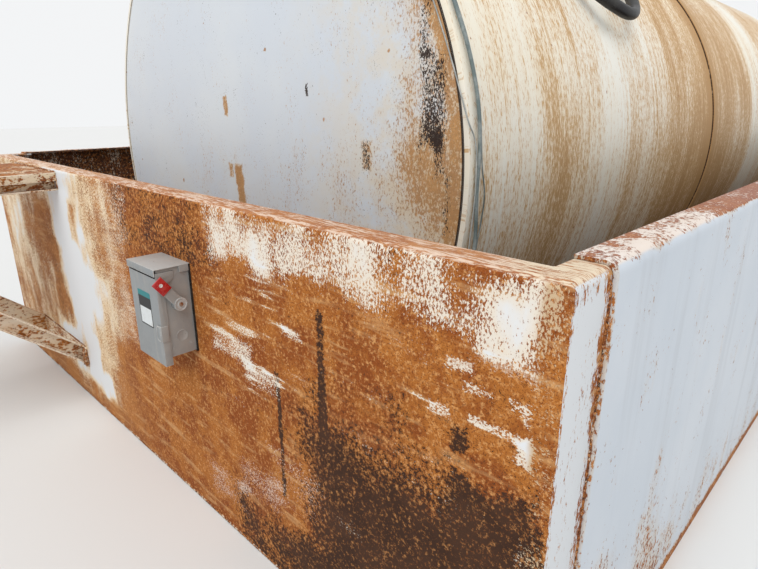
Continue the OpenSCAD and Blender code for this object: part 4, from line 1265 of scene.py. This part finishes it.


# ---------------------------------------------------------------------------
# Switch box: a safety switch in folded 2 mm sheet with smooth grey enamel. The
# hood sheds rain over the cover, the cover swings up on a pin through its ears,
# and a catch plate is folded round its right edge.
# A lighter enamel for the eased edges, the catch's wire loop and the hub cap: a painted highlight.
highlight_enamel = plain_finish("highlit_enamel_edge", (60, 6, 0.66, 0.40, 0.66), (0.46, 0.455, 0.44),
                           (0.33, 0.325, 0.31), (0.30, 0.50), Specular_IOR_Level=0.5)
dim_inside = plain_finish("unlit_inside_grey", (40, 5, 0.6, 0.40, 0.66), (0.030, 0.030, 0.030),
                          (0.055, 0.052, 0.050),
                          (0.65, 0.85), (500, 2, 0.0002, 0.3), Specular_IOR_Level=0.2)


def under_hood(spot, normal):
    return abs(spot.x - switch_x) < 0.0669 and spot.y > wall_y - 0.0819 and spot.z < 0.6619


def behind_cover(spot, normal):
    inner_side = abs(spot.x - switch_x) < 0.0635 and spot.y > wall_y - 0.0790 and spot.z > 0.4385
    return inner_side or (normal.z > 0.7 and spot.z > 0.640)


def in_tray(spot, normal):
    return abs(spot.x - switch_x) < 0.0634 and 0.4570 < spot.z < 0.6597 and spot.y > wall_y - 0.0765


for node, name, width, body, within in (
    ("switch_body", "switch_tray", 0.0005, "tank_and_dike", in_tray),
    ("switch_hood", "switch_rain_hood", 0.0009, "tank_and_dike", under_hood),
    ("switch_cover", "switch_swing_cover", 0.0009, "cover", behind_cover),
    ("cover_latch", "cover_catch_plate", 0.0008, "cover", None),
    ("handle_lever", "handle_flat_lever", 0.0008, "handle", None),
):
    softened(node, name, width, enamel, body, edge_highlight=highlight_enamel,
             inside=dim_inside if within else None, within=within)
paint_node("cover_pin", band_steel)

cover_face = wall_y - 0.080
plain_label, tree, shader, place = surface("plain_label_film", Specular_IOR_Level=0.25,
                                           Roughness=0.55)
spread_out = axes_of(tree, place)
height = spread_out[2]
margin = reckon(tree, "ABSOLUTE", minus(tree, spread_out[0], switch_x - 0.0035))
grime = step(tree, cloud(tree, place, 40, 6, 0.66), 0.45, 0.72)
shade = tint(tree, grime, (0.66, 0.69, 0.70), (0.53, 0.53, 0.50))
black = (0.030, 0.032, 0.034)
teal = (0.035, 0.215, 0.225)
for value, low, high, band in (
    (margin, 0.0276, 0.0282, black),
    (height, 0.5618, 0.5622, black),
    (height, 0.5878, 0.5882, teal),
    (height, 0.5222, 0.5218, black),
):
    shade = tint(tree, step(tree, value, low, high), shade, band)
join(tree, shader, shade, None, cloud(tree, place, 400, 2), 0.0001, 0.3)


def rounded(x0, x1, z0, z1, corner, count):
    """Points round a shape with round corners, each with its way out there."""
    outline = []
    for cx, cz, start in ((x1 - corner, z1 - corner, 0), (x0 + corner, z1 - corner, 90),
                          (x0 + corner, z0 + corner, 180), (x1 - corner, z0 + corner, 270)):
        for k in range(count + 1):
            turn = math.radians(start + 90 * k / count)
            out = (math.cos(turn), math.sin(turn))
            outline.append((cx + corner * out[0], cz + corner * out[1], *out))
    return outline


outline = rounded(switch_x - 0.034, switch_x + 0.027, 0.519, 0.601, 0.003, 6)
film_t = 0.0003
mesh = skin(bmesh.new(),
            [[(x, y, z) for x, z, _, _ in outline] for y in (cover_face, cover_face - film_t)])
bmesh.ops.recalc_face_normals(mesh, faces=mesh.faces)
made("bare_label", mesh, [plain_label], "cover")
outline = rounded(switch_x + 0.0495, switch_x + 0.0668, 0.4995, 0.5325, 0.006, 8)
wire_r = 0.0011
wire_y = cover_face - 0.0032
turns = [math.radians(30 * k) for k in range(12)]
mesh = skin(bmesh.new(), [
    [(x + ox * wire_r * math.cos(a), wire_y - wire_r * math.sin(a),
      z + oz * wire_r * math.cos(a)) for a in turns]
    for x, z, ox, oz in outline], loop=True)
bmesh.ops.recalc_face_normals(mesh, faces=mesh.faces)
# The wire loop takes the lighter enamel, so it shows as a painted highlight round the catch.
made("catch_wire_loop", mesh, [highlight_enamel], "cover", sharp=180)

# A near-black strip round the tray's foot on the wall stands for the shade in the gap between the
# box and the wall: painted shade.
shade_strip_finish = plain_finish("painted_shade_strip", (90, 4, 0.6, 0.4, 0.65), (0.012, 0.011, 0.010),
                    (0.040, 0.034, 0.030),
                    None, (300, 2, 0.0003, 0.4), Roughness=0.8, Specular_IOR_Level=0.2)
outer = [(switch_x + x, z) for x, z in (
    (-0.0668, 0.4540), (0.0668, 0.4540), (0.0668, 0.6607), (-0.0668, 0.6607))]
mesh = bmesh.new()
for (xa, za), (xb, zb) in zip(outer, outer[1:] + outer[:1]):
    size = Matrix.Diagonal((abs(xb - xa) + 0.0026, 0.0041, abs(zb - za) + 0.0026, 1.0))
    middle = Matrix.Translation(((xa + xb) / 2, wall_y - 0.00215, (za + zb) / 2))
    bmesh.ops.create_cube(mesh, size=1.0, matrix=middle @ size)
made("switch_shade_strip", mesh, [shade_strip_finish])


def discs(name, spots, look, body="tank_and_dike"):
    """Flat discs with a pressed groove round them, from (point, way out, radius)."""
    mesh = bmesh.new()
    for spot, out, radius in spots:
        at = Matrix.Translation(spot) @ Vector(out).to_track_quat("Z", "Y").to_matrix().to_4x4()
        rings = ((radius, 0.0), (radius * 0.96, 0.0007), (radius * 0.86, 0.0007),
                 (radius * 0.80, 0.0003), (0.0008, 0.0003))
        turns = [2 * math.pi * i / 40 for i in range(40)]
        skin(mesh, [[at @ Vector((r * math.cos(a), r * math.sin(a), z)) for a in turns]
                    for r, z in rings], foot=False)
    bmesh.ops.recalc_face_normals(mesh, faces=mesh.faces)
    made(name, mesh, [look], body, 35)


tray_half = 0.0645
side_x = switch_x + tray_half
knockout_y = wall_y - 0.036
discs("tray_knockouts", [
    ((side_x, wall_y - 0.034, 0.500), (1, 0, 0), 0.014),
    ((side_x, wall_y - 0.016, 0.478), (1, 0, 0), 0.0035),
    ((side_x, wall_y - 0.058, 0.478), (1, 0, 0), 0.0035),
    ((switch_x - tray_half, wall_y - 0.034, 0.500), (-1, 0, 0), 0.014),
    ((switch_x - 0.030, knockout_y, 0.456), (0, 0, -1), 0.014),
    ((switch_x + 0.030, knockout_y, 0.456), (0, 0, -1), 0.014),
], enamel)
screws = [((switch_x + x, wall_y - 0.0022, z), (0, -1, 0))
          for x in (-0.045, 0.045) for z in (0.480, 0.620)]
bolts("tray_fixing_screws", screws, 0.008, 0.0035, bolt_steel, washer=0.0008)

hub_y = wall_y - 0.036
hub_z = 0.579


def about_hub(radius, x, turn):
    return side_x + x, hub_y + radius * math.cos(turn), hub_z + radius * math.sin(turn)


spun("handle_round_hub", [(radius, 0.0003 + x) for radius, x in (
    (0.0, 0.0), (0.0142, 0.0), (0.0150, 0.0008), (0.0150, 0.0100), (0.0142, 0.0108),
    (0.0118, 0.0108),
    (0.0112, 0.0102), (0.0104, 0.0102), (0.0098, 0.0110), (0.0098, 0.0120), (0.0, 0.0120),
)], about_hub, enamel, 72, 32, "handle", "handle_hub")
# The hub cap takes the lighter enamel: a painted highlight.
spun("handle_hub_cap", [(radius, 0.0153 + x) for radius, x in (
    (0.0, 0.0), (0.0150, 0.0), (0.0150, 0.0010), (0.0142, 0.0018), (0.0120, 0.0018),
    (0.0112, 0.0009), (0.0080, 0.0009), (0.0074, 0.0017), (0.0046, 0.0017), (0.0, 0.0017),
)], about_hub, highlight_enamel, 72, 32, "handle")
bolts("hub_screw", [((side_x + 0.0169, hub_y, hub_z), (1, 0, 0))], 0.007, 0.0018, bolt_steel,
      washer=0.0008, body="handle")

red, tree, shader, place = surface("red_plastic", Specular_IOR_Level=0.5, Coat_Weight=0.3)
film = step(tree, cloud(tree, place, 90, 6, 0.66), 0.42, 0.70)
shade = tint(tree, film, (0.42, 0.012, 0.016), (0.50, 0.050, 0.045))
dots = use(tree, flecks, Place=place, Size=220.0, Amount=0.30)
shade = tint(tree, times(tree, dots["Mask"], 0.6), shade, (0.60, 0.30, 0.26))
join(tree, shader, shade, between(tree, film, 0.26, 0.50), cloud(tree, place, 500, 2), 0.0001, 0.4)
softened("handle_tip", "handle_red_tip", 0.0011, red, "handle")
rise = math.radians(52)
stud_at = (side_x + 0.0183, hub_y - 0.066 * math.cos(rise), hub_z + 0.066 * math.sin(rise))
white_dot = plain_finish("white_stud", (160, 5, 0.6, 0.4, 0.7), (0.72, 0.71, 0.69),
                         (0.56, 0.54, 0.50), (0.3, 0.55), Specular_IOR_Level=0.5)
discs("tip_stud", [(stud_at, (1, 0, 0), 0.0042)], white_dot, "handle")
hinge_y = wall_y - 0.071
hinge_z = 0.633
pin_ends = [((switch_x + side * 0.0665, hinge_y, hinge_z), (side, 0, 0)) for side in (-1, 1)]
bolts("pin_heads", pin_ends, 0.0052, 0.0012, band_steel, washer=0.0003)
